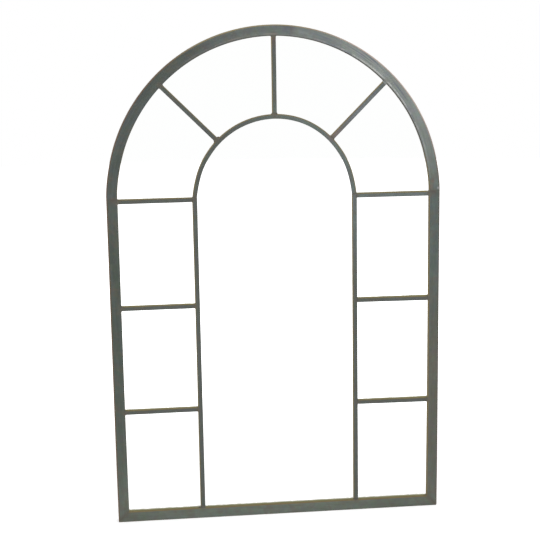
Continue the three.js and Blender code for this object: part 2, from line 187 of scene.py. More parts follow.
def made_mesh(name, points, faces, marks=None, crease=35):
    """An object from points in millimetres. Marks are named values for each point, read by the finishes."""
    mesh = bpy.data.meshes.new(name)
    mesh.from_pydata([Vector(p) * MM for p in points], [], faces)
    mesh.validate()
    shell = bmesh.new()
    shell.from_mesh(mesh)
    bmesh.ops.recalc_face_normals(shell, faces=shell.faces)
    shell.to_mesh(mesh)
    shell.free()
    for mark, values in (marks or {}).items():
        values = np.asarray(values, np.float32)
        kind, field = ("FLOAT_VECTOR", "vector") if values.ndim == 2 else ("FLOAT", "value")
        mesh.attributes.new(mark, kind, "POINT").data.foreach_set(field, values.ravel())
    mesh.shade_smooth()
    mesh.set_sharp_from_angle(angle=math.radians(crease))
    made = bpy.data.objects.new(name, mesh)
    bpy.context.scene.collection.objects.link(made)
    return made


def fitted(piece, finishes, slot, body="frame", nodes=()):
    """Gives a piece its finishes, the body that it rides on and the solids that it stands for."""
    for finish in finishes:
        piece.data.materials.append(finish.material)
    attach(piece, body)
    if nodes:
        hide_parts(*nodes)
    return piece


def ring_faces(rings, points_per_ring, closed=False):
    """Faces that join rings of points one after another, with an end face at each end."""
    faces = []
    for ring in range(rings if closed else rings - 1):
        here = ring * points_per_ring
        there = ((ring + 1) % rings) * points_per_ring
        for k in range(points_per_ring):
            on = (k + 1) % points_per_ring
            faces.append((here + k, here + on, there + on, there + k))
    if not closed:
        faces.append(tuple(range(points_per_ring))[::-1])
        last = (rings - 1) * points_per_ring
        faces.append(tuple(range(last, last + points_per_ring)))
    return faces


def ringed(name, rings, finish, slot, crease=60, closed=False, body="frame", nodes=(), marks=None):
    """A piece made of rings of points, one after another."""
    points = [point for ring in rings for point in ring]
    made = made_mesh(name, points, ring_faces(len(rings), len(rings[0]), closed), marks, crease)
    return fitted(made, [finish], slot, body, nodes)


# ---- sections of steel -------------------------------------------------------------------------


class Section:
    """A closed section with rounded corners, from (across, depth, radius) for each of them.
    Across runs inwards over the face and depth runs back."""

    def __init__(self, corners, longest_flat, edges):
        arcs = [self.arc(corners, k) for k in range(len(corners))]
        points, middles = [], []
        for k, arc in enumerate(arcs):
            middles.append(len(points) + len(arc) // 2)
            points.extend(arc)
            onward = arcs[(k + 1) % len(arcs)][0]
            pieces = max(1, math.ceil(np.linalg.norm(onward - arc[-1]) / longest_flat))
            points.extend(arc[-1] + (onward - arc[-1]) * n / pieces for n in range(1, pieces))
        self.points = np.array(points)
        steps = np.linalg.norm(np.roll(self.points, -1, 0) - self.points, axis=1)
        way = np.concatenate([[0], np.cumsum(steps)[:-1]])
        gaps = [np.abs(way - way[middles[k]]) for k in edges]
        self.from_inner, self.from_outer = (np.minimum(gap, steps.sum() - gap) for gap in gaps)
        chord = np.roll(self.points, -1, 0) - np.roll(self.points, 1, 0)
        outward = np.stack([chord[:, 1], -chord[:, 0]], 1)
        self.outward = outward / np.linalg.norm(outward, axis=1)[:, None]

    @staticmethod
    def arc(corners, k):
        across, depth, radius = corners[k]
        here = np.array((across, depth))
        back = np.array(corners[k - 1][:2]) - here
        onward = np.array(corners[(k + 1) % len(corners)][:2]) - here
        back, onward = back / np.linalg.norm(back), onward / np.linalg.norm(onward)
        half = math.acos(float(back @ onward)) / 2
        middle = here + (back + onward) / np.linalg.norm(back + onward) * radius / math.sin(half)
        first = here + back * radius / math.tan(half) - middle
        last = here + onward * radius / math.tan(half) - middle
        start = math.atan2(first[1], first[0])
        turn = (math.atan2(last[1], last[0]) - start + math.pi) % (2 * math.pi) - math.pi
        angles = start + turn * np.linspace(0, 1, ARC_STEPS + 1)
        return [middle + radius * np.array((math.cos(a), math.sin(a))) for a in angles]


def angle_section(build):
    """Steel angle, whose face runs inwards and whose leg runs back. The face's edge is built up a little."""
    face, thick, deep = FACE_WIDE + build, STEEL_THICK, STEEL_DEEP - 0.1
    corners = [(0.01, 0.04, 0.35), (face, 0.04, 0.4), (face, thick, 0.6), (thick, thick, 2.0),
               (thick, deep, 1.0), (0.01, deep, 0.6)]
    section = Section(corners, longest_flat=4.0, edges=(1, 0))
    on_edge = section.points[:, 0] > FACE_WIDE - 1.1
    section.side_face = (on_edge & (section.outward[:, 0] > 0.3)).astype(float)
    return section


def bar_section(build):
    """Flat bar, built up a little at both edges."""
    half, thick = BAR_HALF + build, BAR_BACK_Y - BAR_FRONT_Y
    corners = [(-half, 0, 0.3), (half, 0, 0.3), (half, thick, 0.3), (-half, thick, 0.3)]
    section = Section(corners, longest_flat=2.6, edges=(0, 1))
    section.side_face = np.maximum(0.0, -section.outward[:, 0])
    return section


def stations(length, end_zone=14.0, end_step=1.6):
    """Distances along a member, closer together near its two ends."""
    near = np.arange(0, end_zone, end_step)
    count = max(2, round((length - 2 * end_zone) / STATION_STEP))
    return np.concatenate([near, np.linspace(end_zone, length - end_zone, count), length - near[::-1]])


def heat_of(points):
    """How close each point is to a weld, from 0 to 1."""
    xz = np.asarray(points)[:, [0, 2]]
    gaps = np.linalg.norm(xz[:, None] - WELDS[None, :, :2], axis=2)
    return np.exp(-((gaps / WELDS[None, :, 2]) ** 2)).max(1)


def swept_steel(node, finish, slot, section, along, place, edge_spread, mm_per_step=1.0):
    """A length of steel. place(s, across, depth) gives a point, and the two numbers after it say how far the
    colours along the inner and the outer
    front arris reach: wear and rust on the frame, and on the bars a tan that is partly a painted top light
    and a painted shade. own_place is where a point lies on the straight, unbent length."""
    rings, own_place = [], []
    nearest = np.minimum(section.from_inner, section.from_outer)
    for s in along:
        ring = []
        for (across, depth), (push_a, push_d), gap in zip(section.points, section.outward, nearest):
            spot = place(s, across, depth)
            sink = HAND_FINISH * (0.5 + 0.5 * lump(spot, HAND_WAVE))
            if gap < NICK_ZONE:
                sink += NICK_DEPTH * max(0.0, lump(spot, NICK_LONG) - 0.3)
            ring.append(place(s, across - push_a * sink, depth - push_d * sink))
            own_place.append((across * MM, depth * MM, s * mm_per_step * MM))
        rings.append(ring)
    marks = {
        "inner_arris": np.tile(section.from_inner * MM / edge_spread[0], len(along)),
        "outer_arris": np.tile(section.from_outer * MM / edge_spread[1], len(along)),
        "side_face": np.tile(section.side_face, len(along)), "own_place": own_place,
        "weld_heat": heat_of([point for ring in rings for point in ring]),
    }
    ringed(f"{node}_steel", rings, finish, slot, crease=35, nodes=[node], marks=marks)


# ---- outer frame -------------------------------------------------------------------------------


def softened_corner(point):
    """Rounds the two bottom corners of the frame as seen from the front."""
    x, y, z = point
    out = abs(x) - (FRAME_HALF - CORNER_ROUND)
    down = CORNER_ROUND - z
    if out > 0 and down > 0:
        share = max(out, down) / math.hypot(out, down)
        return (math.copysign(FRAME_HALF - CORNER_ROUND + out * share, x), y, CORNER_ROUND - down * share)
    return point


def mitred(s, across, reach=40.0):
    """A station near a mitred end, moved so that the end is cut at 45 degrees."""
    return s + across * max(0.0, 1 - s / reach)


def drawn_in(z):
    """How far the stiles lean in near the bottom of the frame."""
    return FOOT_LEAN * max(0.0, 1 - z / FOOT_LEAN_Z) ** 2


def stile_place(sign):
    """Places a stile, from its mitred foot up."""
    def place(s, across, depth):
        z = mitred(s, across)
        return softened_corner((sign * (FRAME_HALF - across - drawn_in(z)), FACE_Y + depth, z))
    return place


def rail_place(s, across, depth):
    """Places the bottom rail, mitred at both ends."""
    half = mitred(FRAME_HALF - abs(s), across)
    out = (FRAME_HALF - half) * (1 - drawn_in(across) / (FRAME_HALF - across))
    return softened_corner((math.copysign(out, s), FACE_Y + depth, across))


def hand_bend(degrees):
    """How far the bent arch stands out from a true half round: a negative number, as it stands in."""
    grown = min(1.0, min(degrees, 180 - degrees) / BEND_EASE)
    bend = BEND_ALL_OVER * grown ** 2 * (3 - 2 * grown)
    return bend + sum(amount * hump(degrees, middle, BEND_WIDTH) for middle, amount in BENDS.items())


def filed_away(degrees, depth):
    """Share of the bend that is filed off the inside of the arch, where a turn button swings past it."""
    off = min(abs(degrees - CLIPS[place]) for place in ("arch_left", "arch_right"))
    first, last = FILED_DEPTH
    along = max(0.0, min(1.0, FILED_REACH - off))
    return FILED_SHARE * along * max(0.0, min(1.0, (depth - first) / 3, (last - depth) / 5))


def arch_place(degrees, across, depth):
    """Places the bent arch, from its right foot over to its left one."""
    angle = math.radians(degrees)
    bend = hand_bend(degrees)
    if across > 2 and depth > 4:
        bend *= 1 - filed_away(degrees, depth)
    radius = FRAME_HALF - across + bend
    return (radius * math.cos(angle), FACE_Y + depth, SPRING_Z + radius * math.sin(angle))


def outer_frame(finish, arch_finish):
    """The two stiles, the bottom rail and the arch."""
    edge_spread = {"left": (0.12, 1.3), "right": (1.2, 1.0)}
    for side, sign in SIDES:
        swept_steel(f"{side}_stile", finish, "frame_steel", angle_section(STILE_BUILD),
                    stations(SPRING_Z - 0.05), stile_place(sign), edge_spread[side])
    swept_steel("bottom_rail", finish, "frame_steel", angle_section(FRAME_BUILD),
                stations(2 * FRAME_HALF) - FRAME_HALF, rail_place, edge_spread=(1.3, 0.25))
    swept_steel("arch_rail", arch_finish, "frame_steel", angle_section(FRAME_BUILD),
                np.linspace(0, 180, 211), arch_place, edge_spread=(0.75, 1.1), mm_per_step=math.radians(FRAME_HALF))


# ---- inner frame -------------------------------------------------------------------------------


def flat_bar_place(start, end, bow, phase):
    """Places a straight bar between two points (x, z), with a slight bow and a hand-cut waver."""
    start, end = np.array(start), np.array(end)
    length = np.linalg.norm(end - start)
    way = (end - start) / length
    across_way = np.array((way[1], -way[0]))

    def place(s, across, depth):
        lean = bow * math.sin(math.pi * s / length) + 0.12 * noise.noise(Vector((s / 60, phase, 0)))
        x, z = start + way * s + across_way * (across + lean)
        return (x, BAR_FRONT_Y + depth, z)
    return place, length


def inner_arch_place(degrees, across, depth):
    """Flared at its feet to meet the uprights, and sagging a little everywhere but near the top."""
    from_spring = min(degrees, 180 - degrees)
    flare = (UPRIGHT_X - INNER_ARCH_R) * max(0.0, 1 - from_spring / FLARE_ANGLE) ** 2
    grown = min(1.0, from_spring / SAG_EASE)
    sag = SAG + sum(amount * hump(degrees, middle, width) for amount, middle, width in (SAG_LESS, SAG_MORE))
    sag *= grown
    radius = INNER_ARCH_R + flare - sag - across + 0.15 * noise.noise(Vector((degrees / 14, 3.1, 0)))
    angle = math.radians(degrees)
    foot_set = UPRIGHT_SET["right" if degrees < 90 else "left"][1]
    return (radius * math.cos(angle) + foot_set * (1 - grown), BAR_FRONT_Y + depth,
            INNER_ARCH_Z - INNER_ARCH_DROP * grown + radius * math.sin(angle))


def ray_reach(degrees, rise, radius):
    """How far a sunburst bar's line runs before it crosses an arch that springs `rise` higher."""
    along = rise * math.sin(math.radians(degrees))
    return along + math.sqrt(along ** 2 + radius ** 2 - rise ** 2)


def upright_ends(side, sign):
    """Foot and head of an upright, as (x, z)."""
    low, high = (sign * UPRIGHT_X + off for off in UPRIGHT_SET[side])
    return (low, FACE_WIDE), (high, INNER_ARCH_Z - 0.05)


def crossbar_ends(side, sign, place):
    """Where a crossbar meets its upright and its stile, as (x, z)."""
    inner, outer = (CROSSBAR_Z[place] + off for off in CROSSBAR_SET[side, place])
    (low, _), (high, _) = upright_ends(side, sign)
    share = CROSSBAR_Z[place] / INNER_ARCH_Z
    upright = low + (high - low) * share + sign * (BAR_HALF + UPRIGHT_BUILD)
    return (upright, inner), (sign * (FLANGE_R - STILE_BUILD), outer)


def sunburst_ends(side):
    """Where a sunburst bar meets the inner arch and the outer one, as (x, z)."""
    angle = math.radians(SUNBURST[side])
    way = np.array((math.cos(angle), math.sin(angle)))
    centre = np.array((0.0, SUNBURST_Z))
    near = ray_reach(SUNBURST[side], INNER_ARCH_Z - SUNBURST_Z, INNER_ARCH_R + BAR_HALF - 0.7)
    far = ray_reach(SUNBURST[side], SPRING_Z - SUNBURST_Z, FLANGE_R)
    off = np.array(SUNBURST_SET[side])
    return centre + way * near + off, centre + way * far + off


def inner_frame(finish):
    """The uprights, the crossbars, the sunburst bars and the inner arch."""
    def bar(node, start, end, bow=0.0, phase=0.0, build=BAR_BUILD):
        place, length = flat_bar_place(start, end, bow, phase)
        swept_steel(node, finish, "bar_steel", bar_section(build), stations(length), place, edge_spread=(1.0, 0.7))

    for side, sign in SIDES:
        bar(f"{side}_upright", *upright_ends(side, sign), bow=0.15, phase=sign, build=UPRIGHT_BUILD)
        for row, place in enumerate(CROSSBAR_Z):
            ends = sorted(crossbar_ends(side, sign, place))
            bar(f"crossbar_{side}_{place}", *ends, phase=row * sign + 0.5)
    for side, degrees in SUNBURST.items():
        ends = sunburst_ends(side)
        bar(f"sunburst_bar_{side}", *(ends[::-1] if side == "left" else ends), phase=degrees)
    swept_steel("inner_arch", finish, "bar_steel", bar_section(BAR_BUILD), np.linspace(0, 180, 141),
                inner_arch_place, edge_spread=(1.1, 0.7), mm_per_step=math.radians(INNER_ARCH_R))


# ---- welds -------------------------------------------------------------------------------------


def weld_foot(name, finish, at, way, flares=(1.3, 1.3), length=3.6, flush=False):
    """The fillet of weld metal where a bar's end meets another member, wider at its root.
    at is the middle of the joint and way the direction out along the bar, both as (x, z).
    A flush one is ground level with the face of the frame and runs a little way over it."""
    at, way = np.array(at, float), np.array(way, float)
    across_way = np.array((way[1], -way[0]))
    root_y = FACE_Y + 0.02 if flush else BAR_FRONT_Y - 0.25
    lap = 3.2 if flush else 1.2
    back = BAR_BACK_Y - 0.2
    rings = []
    for s in np.linspace(-lap, length, 13):
        spread = max(0.0, 1 - max(s, 0.0) / length) ** 2.3
        left, right = (BAR_HALF + BAR_BUILD - 0.2 + flare * spread for flare in flares)
        front = BAR_FRONT_Y + 0.2 + (root_y - BAR_FRONT_Y - 0.2) * spread ** 0.6
        if s < 0:
            front = front + 0.35 * (s / lap) ** 2 if flush else max(front, BAR_FRONT_Y + 0.25)
        ring = []
        for angle in angles_round(28):
            c, d = math.cos(angle), math.sin(angle)
            u = (right - left) / 2 + (right + left) / 2 * math.copysign(abs(c) ** 0.5, c)
            v = (front + back) / 2 + (back - front) / 2 * math.copysign(abs(d) ** 0.5, d)
            x, z = at + way * s + across_way * u
            rough = 0.22 * spread * lump((x, v, z), 2.1) * (0.3 if flush else 1.0)
            x, z = at + way * (s + rough) + across_way * u * (1 + 0.12 * rough)
            ring.append((x, max(v + rough * 0.5, FACE_Y + 0.02), z))
        rings.append(ring)
    ringed(name, rings, finish, "bar_steel")


def weld_bead(name, finish, start, end, outward, half_width, height, sink, coin=0.0, slot="frame_steel"):
    """A run of weld metal on a surface, ground down where coin is 0 and left in ripples where it isn't."""
    start, end, outward = Vector(start), Vector(end), Vector(outward).normalized()
    way = (end - start).normalized()
    across = way.cross(outward)
    length = (end - start).length
    steps = max(8, round(length / (0.55 if coin else 1.2)))
    rings = []
    for k in range(steps + 1):
        s = length * k / steps
        taper = min(1.0, math.sqrt(min(s, length - s) / half_width + 0.02))
        ripple = 0.82 + 0.18 * abs(math.sin(math.pi * s / coin)) if coin else 1.0
        ring = []
        for angle in angles_round(16):
            side = math.cos(angle) * half_width * taper * (0.9 + 0.1 * ripple)
            up = math.sin(angle)
            rise = up * height * ripple * taper if up > 0 else up * sink
            spot = start + way * s + across * side + outward * rise
            spot += outward * (0.12 * height * lump(spot, 2.3) if up > 0.2 else 0.0)
            ring.append(spot + across * 0.3 * lump(spot, 4.0) * half_width * 0.4)
        rings.append(ring)
    ringed(name, rings, finish, slot)


def weld_blob(name, finish, centre, radii, slot, rows=9):
    """A lump of weld metal or spatter."""
    rings = []
    for row in range(rows):
        tilt = math.pi * (row + 0.5) / rows
        ring = []
        for angle in angles_round(18):
            way = Vector((math.sin(tilt) * math.cos(angle), math.cos(tilt), math.sin(tilt) * math.sin(angle)))
            size = 1 + 0.22 * lump(Vector(centre) + way * 2, 1.7)
            x, y, z = (c + r * w * size for c, r, w in zip(centre, radii, way))
            ring.append((x, max(y, FACE_Y + 0.03), z))
        rings.append(ring)
    ringed(name, rings, finish, slot, crease=80)


def weld_spots():
    """Every joint as (x, z, reach of its heat tint)."""
    spots = []
    for side, sign in SIDES:
        low, high = upright_ends(side, sign)
        spots += [(*low, 9), (*high, 9)]
        for place in CROSSBAR_Z:
            inner, outer = crossbar_ends(side, sign, place)
            spots += [(*inner, 8), (*outer, 10)]
        spots += [(sign * (FRAME_HALF - step), step, 7) for step in (3, 8, 13, 18, 23)]
        spots += [(sign * (FRAME_HALF - step), SPRING_Z - 3, 8) for step in (14, 19, 23)]
    for side in SUNBURST:
        spots += [(x, z, 9) for x, z in sunburst_ends(side)]
    return np.array(spots, float)


WELDS = weld_spots()
GROUND_SINK = 0.5
ROUGH_BEAD = (2.0, 0.8, 0.6)
ROUGH_COIN = 2.2
WELD_BLOBS = (
    ("right_inside_corner", (373.0, FACE_Y + 1.6, 26.4), (2.4, 1.3, 2.2), "frame_steel"),
    ("left_inside_corner", (-373.4, FACE_Y + 1.6, 25.8), (1.6, 1.2, 1.5), "frame_steel"),
    ("left_upright_blob", (-UPRIGHT_X - 6.9, FACE_Y + 1.7, 27.0), (3.0, 1.3, 2.2), "bar_steel"),
    ("left_sunburst_blob", (-132.8, BAR_FRONT_Y + 1.0, 938.2), (3.8, 1.2, 2.8), "bar_steel"),
)


def frame_welds(finish, side, sign):
    """The beads at a mitre and at the spring line, ground down where they show and rough behind."""
    lean, front, back = drawn_in(0), FACE_Y + 0.2, FACE_Y + STEEL_THICK - 0.1
    edge, corner, z = FRAME_HALF - 0.2, FLANGE_R + 0.8, SPRING_Z
    beads = {
        "mitre": ((edge - 2.0 - lean, front, 2.2), (corner - lean, front, 24.2), (0, -1, 0),
                  (1.5, 0.12, GROUND_SINK), 0),
        "mitre_back": ((FRAME_HALF - 5.4, back, 5.4), (FRAME_HALF - 15.5, back, 15.5), (0, 1, 0),
                       ROUGH_BEAD, ROUGH_COIN),
        "spring_face": ((edge - 1.0, front, z), (corner, front, z), (0, -1, 0), (1.7, 0.1, GROUND_SINK), 0),
        "spring_side": ((edge, FACE_Y + 1.2, z), (edge, -FACE_Y - 1.0, z), (1, 0, 0),
                        (1.8, 0.17, GROUND_SINK), 0),
        "spring_inside": ((LEG_R + 0.1, FACE_Y + 5.5, z), (LEG_R + 0.1, -FACE_Y - 1.5, z), (-1, 0, 0),
                          ROUGH_BEAD, ROUGH_COIN),
        "spring_back": ((LEG_R - 2.5, back, z), (FLANGE_R + 8.5, back, z), (0, 1, 0), ROUGH_BEAD, ROUGH_COIN),
    }
    for place, (start, end, outward, size, coin) in beads.items():
        start, end, outward = ((sign * x, y, z) for x, y, z in (start, end, outward))
        weld_bead(f"weld_{side}_{place}", finish, start, end, outward, *size, coin=coin)


def bar_welds(finish, side, sign):
    """The fillets at the ends of the uprights and the crossbars."""
    for row, place in enumerate(CROSSBAR_Z):
        inner, outer = crossbar_ends(side, sign, place)
        weld_foot(f"weld_{side}_stile_{place}", finish, outer, (-sign, 0), (0.8, 1.0 + 0.3 * row), flush=True)
        weld_foot(f"weld_{side}_upright_{place}", finish, inner, (sign, 0), (1.3, 1.0), length=3.2)
    (foot_x, _), (top_x, _) = upright_ends(side, sign)
    flares = {"left": (4.6, 1.6), "right": (1.4, 1.8)}[side]
    foot = (foot_x, FACE_WIDE + FRAME_BUILD)
    weld_foot(f"weld_{side}_upright_foot", finish, foot, (0, 1), flares, 4.8, flush=True)
    first, last = ((top_x + off, BAR_FRONT_Y + 0.15, INNER_ARCH_Z) for off in (-4.6, 4.6))
    weld_bead(f"weld_{side}_upright_top", finish, first, last, (0, -1, 0), 1.7, 0.28, 0.6, slot="bar_steel")


def welds(finish):
    """All the weld metal that shows on the front, and the beads behind it."""
    for side, sign in SIDES:
        frame_welds(finish, side, sign)
        bar_welds(finish, side, sign)
    for side, degrees in SUNBURST.items():
        near, far = sunburst_ends(side)
        way = (far - near) / np.linalg.norm(far - near)
        flares, length = ((1.8, 2.2), 4.5) if side == "right" else ((3.6, 3.4), 7.0)
        weld_foot(f"weld_{side}_sunburst_inner", finish, near, way, flares, length)
        foot = far - way * (FRAME_BUILD - hand_bend(degrees))
        weld_foot(f"weld_{side}_sunburst_outer", finish, foot, -way, (1.8, 1.6), 4.5, flush=True)
    for name, centre, radii, slot in WELD_BLOBS:
        weld_blob(f"weld_{name}", finish, centre, radii, slot)


# ---- mirror and board --------------------------------------------------------------------------


def arched_outline(inset=0.0, arch_steps=96):
    """The pane's outline as (x, z), from its bottom left corner round to the right and over the arch."""
    half = PANE_HALF - inset
    outline = [(-half, PANE_FOOT_Z + inset), (half, PANE_FOOT_Z + inset)]
    for k in range(arch_steps + 1):
        angle = math.pi * k / arch_steps
        outline.append((half * math.cos(angle), SPRING_Z + half * math.sin(angle)))
    return outline


def arched_rings(front_y, back_y, arris, edge_wobble=0.0):
    """A flat arched sheet with its sharp edges taken off, as rings from its front to its back."""
    rings = []
    for inset, y in ((arris, front_y), (0, front_y + arris), (0, back_y - arris), (arris, back_y)):
        ring = []
        for x, z in arched_outline(inset):
            wobble = edge_wobble * lump((x, y * 3, z), 9.0) if inset == 0 else 0.0
            ring.append((x * (1 - abs(wobble) / FRAME_HALF), y, z))
        rings.append(ring)
    return rings


def mirror_pane(silver, ground_edge, backing_paint):
    """Silver on the front face, ground glass on the edge and paint on the back."""
    rings = arched_rings(*GLASS_Y, arris=0.7)
    pane = ringed("silvered_pane", rings, silver, "mirror_glass", crease=20, nodes=["mirror_glass"])
    for finish in (ground_edge, backing_paint):
        pane.data.materials.append(finish.material)
    for face in pane.data.polygons:
        face.material_index = 1 if abs(face.normal.y) < 0.95 else (0 if face.normal.y < 0 else 2)


def backing_board(finish):
    """The hardboard behind the mirror."""
    rings = arched_rings(*BOARD_Y, arris=0.35, edge_wobble=0.15)
    ringed("hardboard_back", rings, finish, "backing_board", crease=20, nodes=["backing_board"])


def painted(node, finish):
    """Keeps a solid as it is and gives it its finish."""
    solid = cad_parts[node]
    solid.data.materials.clear()
    solid.data.materials.append(finish.material)
    return solid


def eased(node, finish, width):
    """Keeps a solid as it is, gives it its finish and takes the sharp edges off as it shows."""
    solid = painted(node, finish)
    weld = solid.modifiers.new("joined", "WELD")
    weld.merge_threshold = 0.00001
    easing = solid.modifiers.new("eased_edges", "BEVEL")
    easing.width = width * MM
    easing.segments = 2
    easing.limit_method = "ANGLE"
    easing.angle_limit = math.radians(40)
    easing.harden_normals = False


# ---- turned and pressed hardware ---------------------------------------------------------------

# Sizes of the pan-head screws, whose threads have a pitch and whose heads have a height.
CLIP_SCREW = {"tip_y": -5.0, "head_y": 1.0, "shank": 2.0, "head": 4.0, "height": 2.0, "pitch": 0.7}
STRAP_SCREW = {"tip_y": -1.5, "head_y": 5.5, "shank": 2.5, "head": 4.5, "height": 2.4, "pitch": 0.8}


def middle_of(node):
    """Middle of a solid as (x, z)."""
    low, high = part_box(node)
    return ((low.x + high.x) / 2 / MM, (low.z + high.z) / 2 / MM)


def cross_mouth(angle, arm, half_width):
    """Radius of a cross-shaped recess at an angle."""
    turned = (angle + math.pi / 4) % (math.pi / 2) - math.pi / 4
    if abs(math.tan(turned)) <= half_width / arm:
        return arm / math.cos(turned)
    return half_width / abs(math.sin(turned))


def recess_angles(arm, half_width, filler=3):
    """Angles round a screw head that catch every corner of its recess."""
    corner = math.atan2(half_width, arm)
    marks = [0, corner * 0.98, corner * 1.02, math.pi / 4, math.pi / 2 - corner * 1.02,
             math.pi / 2 - corner * 0.98]
    quarter = []
    for first, last in zip(marks, marks[1:] + [math.pi / 2]):
        count = filler if last - first > 0.15 else 1
        quarter += [first + (last - first) * k / count for k in range(count)]
    return [a + q * math.pi / 2 for q in range(4) for a in quarter]


def pan_screw(name, finish, node, turn, tip_y, head_y, shank, head, height, pitch):
    """A pan-head screw with a cross recess, its axis along y and its head at the back."""
    arm, half_width = head * 0.47, head * 0.12
    angles = recess_angles(arm, half_width)
    profile = [(shank * 0.55, tip_y), (shank * 0.8, tip_y + 0.35)]
    y = tip_y + 0.35
    while y + pitch < head_y - 0.2:
        profile += [(shank * 0.98, y + pitch * 0.5), (shank * 0.84, y + pitch)]
        y += pitch
    profile += [(shank * 0.9, head_y), (head * 0.96, head_y), (head, head_y + 0.12)]
    profile += [(head * share, head_y + height * up)
                for share, up in ((0.995, 0.36), (0.93, 0.62), (0.8, 0.82), (0.66, 0.94))]
    top = head_y + height
    mouths = [cross_mouth(a, arm, half_width) for a in angles]
    outlines = [([radius] * len(angles), y) for radius, y in profile]
    outlines += [([mouth * share for mouth in mouths], y) for share, y in
                 ((1.06, top), (0.97, top - 0.12), (0.8, top - height * 0.5), (0.3, top - height * 0.72))]
    x, z = middle_of(node)
    rings = [[(x + r * math.cos(a + turn), y, z + r * math.sin(a + turn)) for r, a in zip(radii, angles)]
             for radii, y in outlines]
    ringed(name, rings, finish, "zinc_steel", crease=38, nodes=[node])


def button_rise(x):
    """How far the turn button's middle is bent back at a distance from its pivot."""
    if x < 17:
        return 0.0
    return (x - 17) ** 2 / 8 if x < 19 else (x - 18) / 2


def slot_outline(count):
    """Points round the turn button, evenly spaced, from behind the pivot."""
    bend = math.pi * BUTTON_ROUND
    girth = 2 * (BUTTON_STRAIGHT + bend)
    outline = []
    for k in range(count):
        way = (girth * k / count + bend / 2) % girth
        if way < bend:
            angle = math.pi / 2 + way / BUTTON_ROUND
            outline.append((BUTTON_ROUND * math.cos(angle), BUTTON_ROUND * math.sin(angle)))
        elif way < bend + BUTTON_STRAIGHT:
            outline.append((way - bend, -BUTTON_ROUND))
        elif way < 2 * bend + BUTTON_STRAIGHT:
            angle = (way - bend - BUTTON_STRAIGHT) / BUTTON_ROUND - math.pi / 2
            outline.append((BUTTON_STRAIGHT + BUTTON_ROUND * math.cos(angle), BUTTON_ROUND * math.sin(angle)))
        else:
            outline.append((girth - way, BUTTON_ROUND))
    return outline


def turn_button(name, finish, pivot, outward_degrees, count=72):
    """A pressed steel turn button: a slot-shaped plate with a hole at its pivot and a tip bent back."""
    outline = slot_outline(count)
    hole = [(-BUTTON_HOLE * math.cos(a), -BUTTON_HOLE * math.sin(a)) for a in angles_round(count)]
    half = BUTTON_THICK / 2
    outward = math.radians(outward_degrees)
    in_x, in_z = -math.cos(outward), -math.sin(outward)

    def ring(share, y, shrink):
        made = []
        for (hole_x, hole_z), (edge_x, edge_z) in zip(hole, outline):
            x, z = hole_x + (edge_x - hole_x) * share, hole_z + (edge_z - hole_z) * share
            if shrink:
                middle = min(max(x, 0.0), BUTTON_STRAIGHT)
                away = math.hypot(x - middle, z) or 1.0
                x, z = x - (x - middle) / away * shrink, z - z / away * shrink
            made.append((pivot[0] + x * in_x - z * in_z, y + button_rise(x), pivot[1] + x * in_z + z * in_x))
        return made

    face = [(0.03, half - 0.2, 0.0), (0.06, half - 0.03, 0.0)]
    face += [(share, half, 0.0) for share in (0.12, 0.3, 0.5, 0.7, 0.86)]
    face += [(1, half - 0.02, 0.3), (1, half - 0.3, 0.0)]
    rings = [ring(share, y, shrink) for share, y, shrink in face]
    rings += [ring(share, -y, shrink) for share, y, shrink in reversed(face)]
    ringed(f"{name}_pressed", rings, finish, "zinc_steel", crease=32, closed=True, body=name, nodes=[name])


def clips(steel, zinc, weld_metal):
    """The lugs that hold the board in, each with its turn button, its screw and its bead."""
    for order, (place, outward) in enumerate(CLIPS.items()):
        pivot = middle_of(f"clip_screw_{place}")
        turn_button(f"turn_button_{place}", zinc, pivot, outward)
        pan_screw(f"pan_screw_{place}", zinc, f"clip_screw_{place}", turn=0.4 + 0.83 * order, **CLIP_SCREW)
        eased(f"clip_lug_{place}", steel, 0.5)
        angle = math.radians(outward)
        out = Vector((math.cos(angle), 0, math.sin(angle)))
        side = Vector((-math.sin(angle), 0, math.cos(angle)))
        on_arch = "arch" in place
        height = LUG_BEAD_HIGH["arch" if on_arch else "straight"]
        reach = LUG_FOOT + (LUG_BEND_SHARE * hand_bend(outward) if on_arch else 0.0)
        foot = Vector((pivot[0], LUG_TOP_Y, pivot[1])) + out * reach
        weld_bead(f"weld_lug_{place}", weld_metal, foot - side * LUG_HALF, foot + side * LUG_HALF,
                  Vector((0, 1, 0)) - out * 0.5, 1.0, height, 0.6, coin=1.9, slot="back_steel")


# ---- cross strap and ring hangers --------------------------------------------------------------


def dome(radius, height, base_y, direction):
    """Profile of a hammered dome, from its rim to its crown."""
    rim = [(radius * 0.97, base_y), (radius, base_y + direction * height * 0.15)]
    arc = [(radius * math.cos(a), base_y + direction * height * (0.15 + 0.85 * math.sin(a)))
           for a in np.linspace(0.25, 1.45, 6)]
    return rim + arc


def rivet(node, finish):
    """A rivet with a hammered dome at each end."""
    front_y, back_y = RIVET_Y
    middle_x, middle_z = middle_of(node)
    profile = dome(*RIVET_DOME, front_y, -1)[::-1] + [(RIVET_SHANK, y) for y in RIVET_Y]
    profile += dome(*RIVET_DOME, back_y, 1)
    rings = []
    for radius, y in profile:
        ring = []
        for angle in angles_round(30):
            x, z = radius * math.cos(angle), radius * math.sin(angle)
            size = 1 + 0.03 * lump((middle_x + x, y, middle_z + z), 1.6)
            ring.append((middle_x + x * size, y, middle_z + z * size))
        rings.append(ring)
    ringed(f"dome_{node}", rings, finish, "zinc_steel", crease=50, nodes=[node])


